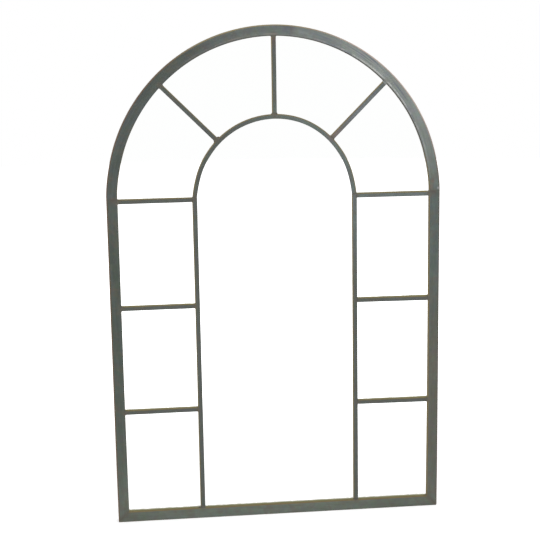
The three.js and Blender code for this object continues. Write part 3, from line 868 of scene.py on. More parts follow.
def folded_strap_line():
    """Middle line of the folded strap from its front tail round the ring's bar to its back tail,
    as (up from the ring's axis, back from it)."""
    loop = RING_WIRE + 0.5 + STRAP_PLY / 2
    line = [(up, -loop) for up in np.linspace(STRAP_TAIL, -2.0, 10)]
    for degrees in np.linspace(0, STRAP_WRAP, 30):
        angle = math.radians(degrees - 90)
        line.append((loop * math.cos(angle), loop * math.sin(angle)))
    start = np.array(line[-1])
    onward = math.radians(STRAP_WRAP - 90)
    heading = np.array((-math.sin(onward), math.cos(onward)))
    end = np.array((STRAP_NECK, -loop + STRAP_PLY))
    first, second = start + heading * 1.9, end + np.array((1.9, 0))
    for t in np.linspace(0, 1, 11)[1:]:
        line.append(tuple(start * (1 - t) ** 3 + first * 3 * t * (1 - t) ** 2
                          + second * 3 * t * t * (1 - t) + end * t ** 3))
    line += [(up, end[1]) for up in np.linspace(-10, STRAP_TAIL + 0.4, 9)]
    return np.array(line)


def ring_strap(side, sign, finish):
    """Sheet steel folded round the straight bar of the ring, with its edges eased."""
    line = folded_strap_line()
    step = np.gradient(line, axis=0)
    step /= np.linalg.norm(step, axis=1)[:, None]
    wide, ply, ease = STRAP_HALF, STRAP_PLY / 2 - 0.01, 0.25
    section = [(-wide, ease - ply), (-wide, ply - ease), (ease - wide, ply), (wide - ease, ply),
               (wide, ply - ease), (wide, ease - ply), (wide - ease, -ply), (ease - wide, -ply)]
    rings = [[(sign * RING_X + across, RING_AXIS_Y + back + step_up * out, RING_AXIS_Z + up - step_back * out)
              for across, out in section] for (up, back), (step_up, step_back) in zip(line, step)]
    ringed(f"folded_strap_{side}", rings, finish, "zinc_steel", crease=40, nodes=[f"ring_strap_{side}"])


def ring_line():
    """Middle line of the D ring's wire, as (x, down from its axis)."""
    corner = RING_SIDE - RING_CORNER_X
    side = []
    for degrees in np.linspace(90, 0, 7):
        angle = math.radians(degrees)
        side.append((RING_CORNER_X + corner * math.cos(angle), corner * (1 - math.sin(angle))))
    side.append((RING_SIDE, RING_SHOULDER_DROP))
    line = [(x, 0.0) for x in np.linspace(-RING_BAR_HALF, RING_BAR_HALF, 9)] + side
    for degrees in np.linspace(0, -180, 27):
        angle = math.radians(degrees)
        line.append((RING_SIDE * math.cos(angle), RING_BOW_DROP - RING_SIDE * math.sin(angle)))
    line += [(-x, down) for x, down in reversed(side)]
    return np.array(line)


def hanging_ring(side, sign, finish):
    """A D ring of round wire, hanging a little away from the strap."""
    line = ring_line()
    step = np.roll(line, -1, 0) - np.roll(line, 1, 0)
    step /= np.linalg.norm(step, axis=1)[:, None]
    lean_back, lean_down = math.sin(RING_LEAN), math.cos(RING_LEAN)
    rings = []
    for (x, down), (step_x, step_down) in zip(line, step):
        ring = []
        for angle in angles_round(16):
            out, back = RING_WIRE * 0.985 * math.cos(angle), RING_WIRE * 0.985 * math.sin(angle)
            wire_x, wire_down = x + out * step_down, down - out * step_x
            ring.append((sign * RING_X + wire_x, RING_AXIS_Y + back * lean_down + wire_down * lean_back,
                         RING_AXIS_Z + back * lean_back - wire_down * lean_down))
        rings.append(ring)
    node = f"hanging_ring_{side}"
    ringed(f"d_ring_{side}", rings, finish, "zinc_steel", closed=True, body=node, nodes=[node])


def hanging_gear(steel, zinc, weld_metal):
    """The cross strap on its two lugs, and the two ring hangers."""
    eased("cross_strap", steel, 0.5)
    for order, (side, sign) in enumerate(SIDES):
        eased(f"strap_lug_{side}", steel, 0.4)
        turn = 0.9 + 1.1 * order
        pan_screw(f"strap_pan_screw_{side}", zinc, f"strap_screw_{side}", turn, **STRAP_SCREW)
        foot_x = sign * (LEG_R - 0.4)
        low, high = ((foot_x, LUG_TOP_Y, STRAP_Z + off) for off in (-STRAP_LUG_HALF, STRAP_LUG_HALF))
        weld_bead(f"weld_strap_lug_{side}", weld_metal, low, high, (-sign * 0.5, -1, 0), 1.1, 0.9, 0.5,
                  coin=2.0, slot="back_steel")
        ring_strap(side, sign, zinc)
        hanging_ring(side, sign, zinc)
        for place in ("upper", "lower"):
            rivet(f"rivet_{side}_{place}", zinc)


# ---- shader nodes ------------------------------------------------------------------------------


def colour(red, green, blue):
    """A colour as it looks on screen, 0 to 255, in the linear values that a shader takes."""
    shown = [c / 255 for c in (red, green, blue)]
    linear = [c / 12.92 if c <= 10 / 255 else ((c + 0.055) / 1.055) ** 2.4 for c in shown]
    return (*linear, 1.0)


def scaled(tone, share):
    """A darker or paler shade of a colour."""
    return (*(c * share for c in tone[:3]), 1.0)


class Nodes:
    """A shader node tree, with a short way to add each kind of node that the looks are built from."""

    def __init__(self, tree, ends):
        self.tree = tree
        self.ends = ends

    def give(self, socket, value):
        """Links a socket to what another node gives, or sets it to a constant."""
        if isinstance(value, bpy.types.NodeSocket):
            self.tree.links.new(value, socket)
        else:
            socket.default_value = value

    def send(self, values):
        """Gives the last node of the tree its named values."""
        for name, value in values.items():
            self.give(self.ends[name], value)

    def add(self, kind, inputs=(), **settings):
        """Adds a node and returns its outputs."""
        made = self.tree.nodes.new("ShaderNode" + kind)
        for key, value in settings.items():
            setattr(made, key, value)
        for key, value in dict(inputs).items():
            self.give(made.inputs[key], value)
        return made.outputs

    def maths(self, operation, a, b=0.0):
        return self.add("Math", {0: a, 1: b}, operation=operation)[0]

    def times(self, a, b):
        return self.maths("MULTIPLY", a, b)

    def plus(self, a, b):
        return self.maths("ADD", a, b)

    def minus(self, a, b):
        return self.maths("SUBTRACT", a, b)

    def most(self, a, b):
        return self.maths("MAXIMUM", a, b)

    def length(self, a, b):
        """Length of a step of a one way and b the other."""
        return self.maths("SQRT", self.plus(self.times(a, a), self.times(b, b)))

    def eased_step(self, value, low, high, start=0.0, end=1.0):
        inputs = {"Value": value, "From Min": low, "From Max": high, "To Min": start, "To Max": end}
        return self.add("MapRange", inputs, interpolation_type="SMOOTHSTEP")["Result"]

    def mixed(self, share, a, b, blend="MIX"):
        """A colour between two others."""
        return self.add("Mix", {0: share, 6: a, 7: b}, data_type="RGBA", blend_type=blend)[2]

    def between(self, share, a, b):
        """A value between two others."""
        return self.add("Mix", {0: share, 2: a, 3: b}, data_type="FLOAT")[0]

    def own_place(self):
        return self.add("TexCoord")["Object"]

    def parts(self, place):
        return self.add("SeparateXYZ", {0: place})

    def cloud(self, place, scale, detail=4.0, rough=0.55, distortion=0.0):
        inputs = {"Vector": place, "Scale": scale, "Detail": detail, "Roughness": rough,
                  "Distortion": distortion}
        return self.add("TexNoise", inputs)["Fac"]

    def stretched(self, place, scale, turn=(0, 0, 0)):
        """A place that is turned and then drawn out, so that what is painted there runs in streaks."""
        turned = self.add("Mapping", {"Vector": place, "Rotation": turn})["Vector"]
        return self.add("Mapping", {"Vector": turned, "Scale": scale})["Vector"]

    def mark(self, name, output="Fac"):
        """A named value that swept_steel has written on each point."""
        return self.add("Attribute", attribute_name=name)[output]

    def placed(self, name, inputs):
        """Puts an effect in the tree and returns its outputs."""
        return self.add("Group", inputs, node_tree=bpy.data.node_groups[name])

    def region(self, x, z, reach, share):
        return self.placed("soft_region", {"X": x, "Z": z, "Reach": reach, "Share": share})["Mask"]

    def arris_banded(self, place, distance, reach, ragged, scale):
        inputs = {"Place": place, "Distance": distance, "Reach": reach, "Raggedness": ragged, "Scale": scale}
        return self.placed("arris_band", inputs)["Mask"]

    def scratches(self, place, scale, share):
        return self.placed("hairline_scratches", {"Place": place, "Scale": scale, "Share": share})["Mask"]

    def dust(self, share, scale):
        return self.placed("settled_dust", {"Share": share, "Scale": scale})["Mask"]

    def bumped(self, height, strength, distance):
        inputs = {"Height": height, "Strength": strength, "Distance": distance}
        self.send({"Normal": self.add("Bump", inputs)["Normal"]})

    def grained(self, place, scale, pits, waves, strength, distance):
        inputs = {"Place": place, "Scale": scale, "Pits": pits, "Waves": waves}
        self.bumped(self.placed("surface_grain", inputs)["Height"], strength, distance)


class Effect(Nodes):
    """A shader node group that the finishes share. A colour is given as a tuple, a place as None."""

    def __init__(self, name, inputs, outputs=(("Mask", "Float"),)):
        tree = bpy.data.node_groups.new(name, "ShaderNodeTree")
        for label, default in inputs.items():
            kind = "Vector" if default is None else "Color" if isinstance(default, tuple) else "Float"
            socket = tree.interface.new_socket(name=label, in_out="INPUT", socket_type=f"NodeSocket{kind}")
            if default is not None:
                socket.default_value = default
        for label, kind in outputs:
            tree.interface.new_socket(name=label, in_out="OUTPUT", socket_type=f"NodeSocket{kind}")
        self.given = tree.nodes.new("NodeGroupInput").outputs
        super().__init__(tree, tree.nodes.new("NodeGroupOutput").inputs)


class Finish(Nodes):
    """A material. What is sent goes to its Principled shader."""

    def __init__(self, name):
        self.material = bpy.data.materials.new(name)
        self.material.use_nodes = True
        tree = self.material.node_tree
        super().__init__(tree, tree.nodes["Principled BSDF"].inputs)


# ---- effects shared by the finishes ------------------------------------------------------------

GREY = colour(90, 96, 90)


def patina_mottle():
    """Uneven patina: a ground colour clouded with a paler one, with brown stains and streaks."""
    nodes = Effect(
        "patina_mottle",
        {"Place": None, "Ground": GREY, "Pale": GREY, "Stain": GREY, "Scale": 30.0, "Pale Share": 0.5,
         "Stain Share": 0.3, "Streaks": 0.4, "Hue Drift": 0.15},
        (("Colour", "Color"), ("Cloud", "Float")))
    given = nodes.given
    place, scale = given["Place"], given["Scale"]
    broad = nodes.cloud(place, scale, 6.0, 0.62, 0.4)
    small = nodes.cloud(place, nodes.times(scale, 6.5), 5.0, 0.6)
    drawn = nodes.stretched(place, (3.2, 3.2, 0.22), (0.02, 0.03, 0))
    fine = nodes.stretched(place, (11.0, 11.0, 0.6), (0.01, 0.04, 0))
    drawn_scale = nodes.times(scale, 1.6)
    wide_streak = nodes.cloud(drawn, drawn_scale, 4.0, 0.6)
    streak = nodes.between(0.4, wide_streak, nodes.cloud(fine, drawn_scale, 2.0))
    both = nodes.between(given["Streaks"], nodes.between(0.35, broad, small), streak)
    pale = nodes.times(nodes.eased_step(both, 0.4, 0.64), given["Pale Share"])
    turned = nodes.stretched(place, (1, 1, 0.6), (0.4, 0.9, 0.2))
    blotch = nodes.cloud(turned, nodes.times(scale, 1.7), 7.0, 0.7, 0.8)
    stain = nodes.times(nodes.eased_step(blotch, 0.45, 0.66), given["Stain Share"])
    shaded = nodes.mixed(stain, nodes.mixed(pale, given["Ground"], given["Pale"]), given["Stain"])
    hues = nodes.add("TexNoise", {"Vector": place, "Scale": nodes.times(scale, 2.6), "Detail": 3.0})["Color"]
    nodes.send({"Colour": nodes.mixed(given["Hue Drift"], shaded, hues, "OVERLAY"), "Cloud": both})


def arris_band():
    """A band along an edge, strongest on the edge itself, with a ragged border: wear and rust on the frame,
    and on the bars a tan that is partly a painted top light and a painted shade.
    """
    nodes = Effect("arris_band", {"Place": None, "Distance": 1.0, "Reach": 0.002, "Raggedness": 0.6,
                                  "Scale": 160.0})
    given = nodes.given
    ragged = nodes.cloud(nodes.stretched(given["Place"], (1, 1, 0.35)), given["Scale"], 5.0, 0.65)
    spread = nodes.times(nodes.minus(ragged, 0.5), 3.2)
    reach = nodes.times(given["Reach"], nodes.plus(1.0, nodes.times(spread, given["Raggedness"])))
    share = nodes.maths("DIVIDE", given["Distance"], nodes.most(reach, 0.00005))
    nodes.send({"Mask": nodes.eased_step(share, 0.3, 1.0, 1.0, 0.0)})


def flecked_edge_highlight():
    """A broken pale line that runs beside an edge, a painted highlight where light would catch the rounded
    arris.
    """
    nodes = Effect("flecked_edge_highlight", {"Place": None, "Distance": 1.0, "From": 0.002, "To": 0.005,
                                    "Scale": 60.0})
    given = nodes.given
    middle = nodes.times(nodes.plus(given["From"], given["To"]), 0.5)
    half = nodes.times(nodes.minus(given["To"], given["From"]), 0.5)
    off = nodes.maths("ABSOLUTE", nodes.minus(given["Distance"], middle))
    band = nodes.eased_step(nodes.maths("DIVIDE", off, half), 0.2, 1.0, 1.0, 0.0)
    fleck = nodes.cloud(nodes.stretched(given["Place"], (1, 1, 0.6)), given["Scale"], 5.0, 0.7)
    nodes.send({"Mask": nodes.times(band, nodes.eased_step(fleck, 0.38, 0.6))})


def drawn_lines():
    """Long soft lines along the steel, as it came from the rolls."""
    nodes = Effect("drawn_lines", {"Place": None, "Scale": 30.0, "Low": 0.5, "High": 0.6})
    given = nodes.given
    wide_place = nodes.stretched(given["Place"], (5.0, 5.0, 0.3), (0.01, 0.02, 0))
    thin_place = nodes.stretched(given["Place"], (13.0, 13.0, 0.35), (0.01, 0.03, 0))
    wide = nodes.cloud(wide_place, given["Scale"], 2.0, 0.5)
    thin = nodes.cloud(thin_place, given["Scale"], 1.5, 0.5)
    nodes.send({"Mask": nodes.eased_step(nodes.between(0.45, wide, thin), given["Low"], given["High"])})


def hairline_scratches():
    """A few fine scratches that run several ways."""
    nodes = Effect("hairline_scratches", {"Place": None, "Scale": 30.0, "Share": 0.3})
    lines = 0.0
    for turn in ((0.2, 0.45, 0.1), (0.9, -0.6, 0.4), (0.1, 1.45, 0.3)):
        along = nodes.stretched(nodes.given["Place"], (1.0, 1.0, 26.0), turn)
        fine = nodes.cloud(along, nodes.given["Scale"], 2.5, 0.55)
        lines = nodes.most(lines, nodes.eased_step(fine, 0.72, 0.77))
    nodes.send({"Mask": nodes.times(lines, nodes.given["Share"])})


def settled_dust():
    """Dust on what faces up, thicker in patches."""
    nodes = Effect("settled_dust", {"Share": 0.3, "Scale": 60.0})
    coordinates = nodes.add("TexCoord")
    facing = nodes.parts(coordinates["Normal"])["Z"]
    patch = nodes.cloud(coordinates["Object"], nodes.given["Scale"], 5.0, 0.6)
    lying = nodes.times(nodes.eased_step(facing, 0.35, 0.95), nodes.eased_step(patch, 0.3, 0.7))
    nodes.send({"Mask": nodes.times(lying, nodes.given["Share"])})


def surface_grain():
    """Height of a fine, slightly pitted surface."""
    nodes = Effect("surface_grain", {"Place": None, "Scale": 500.0, "Pits": 0.4, "Waves": 0.4},
                   (("Height", "Float"),))
    place, scale = nodes.given["Place"], nodes.given["Scale"]
    fine = nodes.cloud(place, scale, 6.0, 0.6)
    wave = nodes.cloud(place, nodes.times(scale, 0.09), 3.0, 0.5)
    cells = nodes.add("TexVoronoi", {"Vector": place, "Scale": nodes.times(scale, 0.45)})["Distance"]
    pit = nodes.times(nodes.eased_step(cells, 0.0, 0.32, 1.0, 0.0), nodes.given["Pits"])
    height = nodes.plus(fine, nodes.times(wave, nodes.given["Waves"]))
    nodes.send({"Height": nodes.minus(height, pit)})


def soft_region():
    """A soft round patch of the window about a place, where a finish lays another tone: a real tint in some
    places, in others a painted sheen, and in others a painted shade.
    """
    nodes = Effect("soft_region", {"X": 0.0, "Z": 0.0, "Reach": 0.2, "Share": 1.0})
    given = nodes.given
    place = nodes.own_place()
    parts = nodes.parts(place)
    gap = nodes.length(nodes.minus(parts["X"], given["X"]), nodes.minus(parts["Z"], given["Z"]))
    uneven = nodes.cloud(place, nodes.maths("DIVIDE", 4.2, given["Reach"]))
    waver = nodes.times(nodes.minus(uneven, 0.5), 0.4)
    near = nodes.plus(nodes.maths("DIVIDE", gap, given["Reach"]), waver)
    nodes.send({"Mask": nodes.times(nodes.eased_step(near, 0.2, 1.0, 1.0, 0.0), given["Share"])})


def painted_bar_reflection():
    """A painted reflection of a rail's or bar's tan top, in a strip on the glass just above it."""
    nodes = Effect("painted_bar_reflection", {"Foot": 0.025, "Reach": 0.003, "From X": 0.0, "To X": 0.4})
    given = nodes.given
    place = nodes.own_place()
    parts = nodes.parts(place)
    across = nodes.maths("ABSOLUTE", parts["X"])
    ragged = nodes.cloud(nodes.stretched(place, (0.5, 1, 1)), 160.0, 4.0, 0.6)
    reach = nodes.times(given["Reach"], nodes.eased_step(ragged, 0.2, 0.8, 0.88, 1.12))
    above = nodes.maths("DIVIDE", nodes.minus(parts["Z"], given["Foot"]), reach)
    film = nodes.eased_step(above, 0.45, 1.0, 1.0, 0.0)
    film = nodes.times(film, nodes.maths("GREATER_THAN", above, 0.0))
    film = nodes.times(film, nodes.maths("GREATER_THAN", across, given["From X"]))
    nodes.send({"Mask": nodes.times(film, nodes.maths("LESS_THAN", across, given["To X"]))})


EFFECTS = (painted_bar_reflection, patina_mottle, arris_band, flecked_edge_highlight, drawn_lines, hairline_scratches,
           settled_dust, surface_grain, soft_region)


# ---- finishes ----------------------------------------------------------------------------------

# Tan of the worn inner edges; on the upper edges of the rail and bars and the left edges of the upright bars
# it also stands for a painted light from above and the left.
TAN = colour(142, 127, 78)
# Pale tan for the top of the arch's outer edge, partly wear and partly a painted top light.
WORN_TAN_AND_TOP_LIGHT = colour(150, 136, 100)
RUST = colour(106, 82, 62)
DARK_RUST = colour(88, 78, 74)
DUST = colour(150, 142, 110)
# Tan of the rail's and bars' tops, painted on the glass as their reflection.
REFLECTED_BAR_TAN = colour(150, 148, 108)
BRIGHT_STEEL = colour(160, 160, 150)
MILL_BLUE = colour(100, 106, 116)
WELD_BROWN = colour(98, 84, 70)
WELD_BLACK = colour(64, 62, 58)
# Painted light on the arch: a pale and a warm painted highlight along its inner edge, a painted shade just
# under that edge, the rusty outer edge and the stains paled by the shoulder's painted sheen, and a painted
# shade along the inner edge on the left.
EDGE_HIGHLIGHT_PALE = colour(186, 186, 182)
EDGE_HIGHLIGHT_WARM = colour(158, 138, 130)
EDGE_SHADE_DARK = colour(60, 56, 46)
SHEENED_RUST_PINK = colour(186, 166, 154)
SHEENED_STAIN = colour(128, 126, 128)
SHADED_EDGE = colour(64, 70, 70)

# Parts of the arch as (x, z, reach, share), in metres: its right shoulder, which has a painted sheen, its
# top, where the edges have a painted highlight, a painted shade and a partly painted top light, and its left
# side, where the inner edge has a painted shade.
SHOULDER = (0.27, 1.07, 0.3, 1.0)
TOPMOST = (-0.04, 1.2, 0.3, 0.9)
LEFT_OF_ARCH = (-0.22, 1.12, 0.5, 1.0)
RIGHT_SIDE = (0.5, 0.4, 0.8, 1.0)


def arch_wear_and_painted_light(nodes, place, shoulder_sheen, tone, tan_tone, outer_tone):
    """The arch's painted light, with some wear: a painted sheen on its shoulder, a painted highlight and a
    painted shade along its inner edge there and, less, at its top, a pale tan outer edge at the top that is
    partly wear and partly painted top light, and a painted shade along the inner edge on the left.
    """
    topmost = nodes.region(*TOPMOST)
    # At the top the outer edge turns pale tan, partly wear and partly a painted top light.
    outer_tone = nodes.mixed(topmost, outer_tone, WORN_TAN_AND_TOP_LIGHT)
    # The inner edge on the left of the arch is a painted shade.
    tan_tone = nodes.mixed(nodes.region(*LEFT_OF_ARCH), tan_tone, SHADED_EDGE)
    # A painted highlight along the inner edge, strong on the shoulder and faint at the top.
    highlight_flecks = nodes.placed("flecked_edge_highlight", {"Place": place, "Distance": nodes.mark("inner_arris"),
                                           "From": 0.0032, "To": 0.0095, "Scale": 40.0})["Mask"]
    share = nodes.times(highlight_flecks, nodes.most(nodes.times(shoulder_sheen, 0.8), nodes.times(topmost, 0.3)))
    tone = nodes.mixed(share, tone, nodes.mixed(topmost, EDGE_HIGHLIGHT_PALE, EDGE_HIGHLIGHT_WARM))
    # A painted shade under that highlight, where the inner edge turns down.
    painted_edge_shade = nodes.eased_step(nodes.most(shoulder_sheen, nodes.times(topmost, 0.75)), 0.0, 0.6, 0.0, 0.95)
    tan_tone = nodes.mixed(painted_edge_shade, tan_tone, EDGE_SHADE_DARK)
    # The rusty outer edge on the shoulder is paled by the painted sheen.
    return tone, tan_tone, nodes.mixed(shoulder_sheen, outer_tone, SHEENED_RUST_PINK)


def window_steel(name, tone, stain, tan_reach, outer_reach, regions, outer_tones=(RUST, DARK_RUST), streaks=0.55,
                 is_arch=False):
    """Patinated steel of the frame and bars, tan along its inner edges, partly wear and partly a painted top
    light on the edges that face up, and darker along its outer ones: rust on the frame, a painted shade on
    the bars' lower edges.
    Regions are (x, z, reach, share, colour): tones laid over the steel, some of them painted sheen and
    painted shade."""
    nodes = Finish(name)
    place = nodes.mark("own_place", "Vector")
    ground, pale = scaled(tone, 0.86), scaled(tone, 1.2)
    for x, z, reach, share, local in regions:
        near = nodes.region(x, z, reach, share)
        ground = nodes.mixed(near, ground, scaled(local, 0.86))
        pale = nodes.mixed(near, pale, scaled(local, 1.2))
    line_share, blotches = 0.12, stain
    if is_arch:
        # The right shoulder has a painted sheen: its stains are paled there and its drawn lines show more.
        shoulder_sheen = nodes.region(*SHOULDER)
        line_share = nodes.eased_step(shoulder_sheen, 0.0, 0.8, 0.12, 0.75)
        blotches = nodes.mixed(shoulder_sheen, stain, SHEENED_STAIN)
    mottle = nodes.placed("patina_mottle", {
        "Place": place, "Ground": ground, "Pale": pale, "Stain": blotches, "Scale": 26.0,
        "Pale Share": 0.8, "Stain Share": 0.35, "Streaks": streaks})
    lines = nodes.placed("drawn_lines", {"Place": place, "Scale": 24.0, "Low": 0.49, "High": 0.6})["Mask"]
    tone = nodes.mixed(nodes.times(lines, line_share), mottle["Colour"], MILL_BLUE)
    heat = nodes.mark("weld_heat")
    tone = nodes.mixed(nodes.eased_step(heat, 0.15, 0.8, 0.0, 0.3), tone, WELD_BROWN)
    tone = nodes.mixed(nodes.eased_step(heat, 0.8, 1.0, 0.0, 0.25), tone, WELD_BLACK)
    tan_tone = nodes.mixed(mottle["Cloud"], TAN, stain)
    # Along the outer edges: rust on the frame, and on the bars a painted shade.
    outer_tone = nodes.mixed(nodes.region(*RIGHT_SIDE), *outer_tones)
    if is_arch:
        tone, tan_tone, outer_tone = arch_wear_and_painted_light(nodes, place, shoulder_sheen, tone, tan_tone, outer_tone)
    # Along the inner edges and the narrow side faces: tan, partly wear and, where these face up, partly a
    # painted top light.
    tan = nodes.arris_banded(place, nodes.mark("inner_arris"), tan_reach, 0.2, 120.0)
    tan = nodes.times(nodes.most(tan, nodes.mark("side_face")), 0.95)
    tan = nodes.times(tan, nodes.eased_step(heat, 0.4, 0.9, 1.0, 0.15))
    outer_edge = nodes.arris_banded(place, nodes.mark("outer_arris"), outer_reach, 0.15, 140.0)
    tone = nodes.mixed(nodes.times(outer_edge, 0.85), nodes.mixed(tan, tone, tan_tone), outer_tone)
    scratch = nodes.scratches(place, 26.0, 0.18)
    dust = nodes.dust(0.2, 70.0)
    rough = nodes.between(mottle["Cloud"], 0.5, 0.7)
    nodes.send({
        "Base Color": nodes.mixed(dust, nodes.mixed(scratch, tone, BRIGHT_STEEL), DUST),
        "Roughness": nodes.plus(rough, nodes.times(dust, 0.3)),
        "Metallic": nodes.between(nodes.most(tan, scratch), 0.3, 0.38), "Specular IOR Level": 0.35})
    nodes.grained(place, 420.0, 0.5, 0.9, strength=0.35, distance=0.0004)
    return nodes


def mottled_metal(nodes, mottle, dust, rough, grain, scratches=None, dust_tone=DUST):
    """Clouded, scratched and dusty metal. Returns where the dust lies."""
    place = nodes.own_place()
    clouded = nodes.placed("patina_mottle", {"Place": place, "Streaks": 0.1, **mottle})
    tone = clouded["Colour"]
    if scratches:
        scale, share, bright = scratches
        tone = nodes.mixed(nodes.scratches(place, scale, share), tone, bright)
    lying = nodes.dust(*dust)
    nodes.send({"Base Color": nodes.mixed(lying, tone, dust_tone),
                "Roughness": nodes.between(clouded["Cloud"], *rough)})
    nodes.grained(place, *grain)
    return lying


def weld_metal_finish():
    """Grey weld metal, paler under the painted sheen on the arch's right shoulder."""
    nodes = Finish("weld_metal")
    # A painted sheen on the welds of the right shoulder.
    shoulder_sheen = nodes.region(0.27, 1.07, 0.2, 0.9)
    mottle = {"Ground": nodes.mixed(shoulder_sheen, colour(74, 76, 70), colour(116, 124, 122)),
              "Pale": nodes.mixed(shoulder_sheen, colour(108, 105, 92), colour(146, 150, 148)),
              "Stain": colour(96, 76, 60), "Scale": 120.0, "Pale Share": 0.6, "Stain Share": 0.5}
    mottled_metal(nodes, mottle, dust=(0.4, 200.0), rough=(0.38, 0.62), grain=(700.0, 0.7, 1.2, 0.4, 0.0005),
                  dust_tone=TAN)
    nodes.send({"Metallic": 0.4})
    return nodes


def back_steel_finish():
    """The same steel where it faces the wall: duller, dusty and stained."""
    nodes = Finish("dusty_back_steel")
    mottle = {"Ground": colour(78, 84, 79), "Pale": colour(108, 112, 104), "Stain": colour(104, 80, 62),
              "Scale": 60.0, "Pale Share": 0.6, "Stain Share": 0.7}
    mottled_metal(nodes, mottle, dust=(0.7, 90.0), rough=(0.5, 0.8), grain=(600.0, 0.7, 0.8, 0.4, 0.0005),
                  scratches=(80.0, 0.3, BRIGHT_STEEL))
    nodes.send({"Metallic": 0.3})
    return nodes


def zinc_finish():
    """Dull zinc plate with a faint yellow cast and white bloom."""
    nodes = Finish("dull_zinc_plate")
    mottle = {"Ground": colour(158, 160, 156), "Pale": colour(196, 197, 190), "Stain": colour(150, 140, 112),
              "Scale": 130.0, "Pale Share": 0.7, "Stain Share": 0.45}
    scratches = (220.0, 0.5, colour(214, 214, 208))
    lying = mottled_metal(nodes, mottle, dust=(0.45, 220.0), rough=(0.26, 0.5),
                          grain=(1500.0, 0.3, 0.8, 0.25, 0.0002), scratches=scratches)
    nodes.send({"Metallic": nodes.between(lying, 0.9, 0.4)})
    return nodes


def silver_finish():
    """Clear mirror, slightly uneven in its polish, with a painted reflection of the tan tops of the rail and
    bars in a strip just above each.
    """
    nodes = Finish("silvered_glass")
    polish = nodes.cloud(nodes.own_place(), 5.0, 3.0, 0.5)
    tone = nodes.mixed(polish, (0.985, 0.992, 0.988, 1.0), (0.995, 0.998, 0.996, 1.0))
    # Painted reflections of the rail and the crossbars, wider the lower they lie.
    beside_upright = (UPRIGHT_X + BAR_HALF) * MM
    strips = [((FACE_WIDE - 1) * MM, 0.0078, 0.0)]
    for height, reach in zip(CROSSBAR_Z.values(), (0.0018, 0.0038, 0.0052)):
        strips.append(((height + BAR_HALF - 1) * MM, reach, beside_upright))
    bar_reflection = 0.0
    for foot, reach, from_x in strips:
        inputs = {"Foot": foot, "Reach": reach, "From X": from_x, "To X": 0.376}
        bar_reflection = nodes.most(bar_reflection, nodes.placed("painted_bar_reflection", inputs)["Mask"])
    rough = nodes.eased_step(polish, 0.3, 0.8, 0.008, 0.02)
    nodes.send({"Base Color": nodes.mixed(bar_reflection, tone, REFLECTED_BAR_TAN),
                "Roughness": nodes.between(bar_reflection, rough, 0.7), "Metallic": nodes.minus(1.0, bar_reflection)})
    return nodes


def ground_edge_finish():
    """Greenish ground glass with fine chips."""
    nodes = Finish("ground_glass_edge")
    chips = nodes.cloud(nodes.own_place(), 900.0, 4.0, 0.6)
    nodes.send({"Base Color": nodes.mixed(chips, colour(96, 132, 118), colour(176, 200, 188)),
                "Roughness": nodes.eased_step(chips, 0.3, 0.7, 0.22, 0.5)})
    nodes.bumped(chips, 0.3, 0.0002)
    return nodes


def backing_paint_finish():
    """Grey paint on the back of the mirror."""
    nodes = Finish("mirror_backing_paint")
    place = nodes.own_place()
    drift = nodes.cloud(place, 9.0, 5.0, 0.6)
    tone = nodes.mixed(drift, colour(86, 92, 98), colour(112, 118, 122))
    nodes.send({"Base Color": tone, "Roughness": 0.6})
    nodes.bumped(nodes.cloud(place, 500.0, 3.0, 0.5), 0.2, 0.0002)
    return nodes


def hardboard_finish():
    """Brown hardboard: pressed fibres, the mesh print of its rough side, and a few scuffs."""
    nodes = Finish("pressed_hardboard")
    place = nodes.own_place()
    fibre = nodes.cloud(nodes.stretched(place, (1.0, 1.0, 2.6), (0, 0.6, 0)), 260.0, 6.0, 0.7, 1.2)
    drift = nodes.cloud(place, 7.0, 5.0, 0.6)
    tone = nodes.mixed(fibre, colour(74, 52, 36), colour(126, 94, 66))
    tone = nodes.mixed(nodes.eased_step(drift, 0.35, 0.7, 0.0, 0.4), tone, colour(120, 96, 72))
    tone = nodes.mixed(nodes.scratches(place, 26.0, 0.4), tone, colour(148, 122, 94))
    nodes.send({"Base Color": nodes.mixed(nodes.dust(0.6, 50.0), tone, DUST),
                "Roughness": nodes.between(fibre, 0.72, 0.92)})
    weave = 0.7
    for turn in (0.785, -0.785):
        turned = nodes.stretched(place, (1, 1, 1), (0, turn, 0))
        inputs = {"Vector": turned, "Scale": 130.0, "Distortion": 0.6, "Detail": 1.0}
        weave = nodes.times(weave, nodes.add("TexWave", inputs, bands_direction="X")["Fac"])
    nodes.bumped(nodes.plus(weave, nodes.times(fibre, 0.5)), 0.5, 0.0005)
    return nodes


def soft_black_finish(name, dark, light, scale, rough, depth):
    """Foam or rubber, with fine cells and a bloom of dust."""
    nodes = Finish(name)
    place = nodes.own_place()
    cells = nodes.add("TexVoronoi", {"Vector": place, "Scale": scale})["Distance"]
    bloom = nodes.cloud(place, scale * 0.08, 4.0, 0.6)
    tone = nodes.mixed(nodes.between(0.5, cells, bloom), dark, light)
    nodes.send({"Base Color": nodes.mixed(nodes.dust(0.5, 120.0), tone, DUST),
                "Roughness": nodes.between(bloom, rough - 0.1, rough + 0.08)})
    nodes.bumped(cells, 0.5, depth)
    return nodes


# ---- room, lamps and camera --------------------------------------------------------------------

AMBIENT = 0.5
FLOOR_LIFT = 0.35
FLOOR_R = 9000

# Softboxes as (place, what they aim at, width and height, power).
SOFTBOXES = {
    "front": ((-0.9, -3.6, 2.6), (0, 0, 0.7), (2.6, 2.0), 42),
    "side": ((3.0, -2.2, 1.6), (0, 0, 0.6), (1.6, 2.2), 16),
    "top": ((0.0, -0.4, 3.6), (0, 0, 0.6), (2.4, 2.4), 60),
    "back": ((0.8, 3.4, 2.2), (0, 0, 0.6), (2.6, 2.0), 42),
}

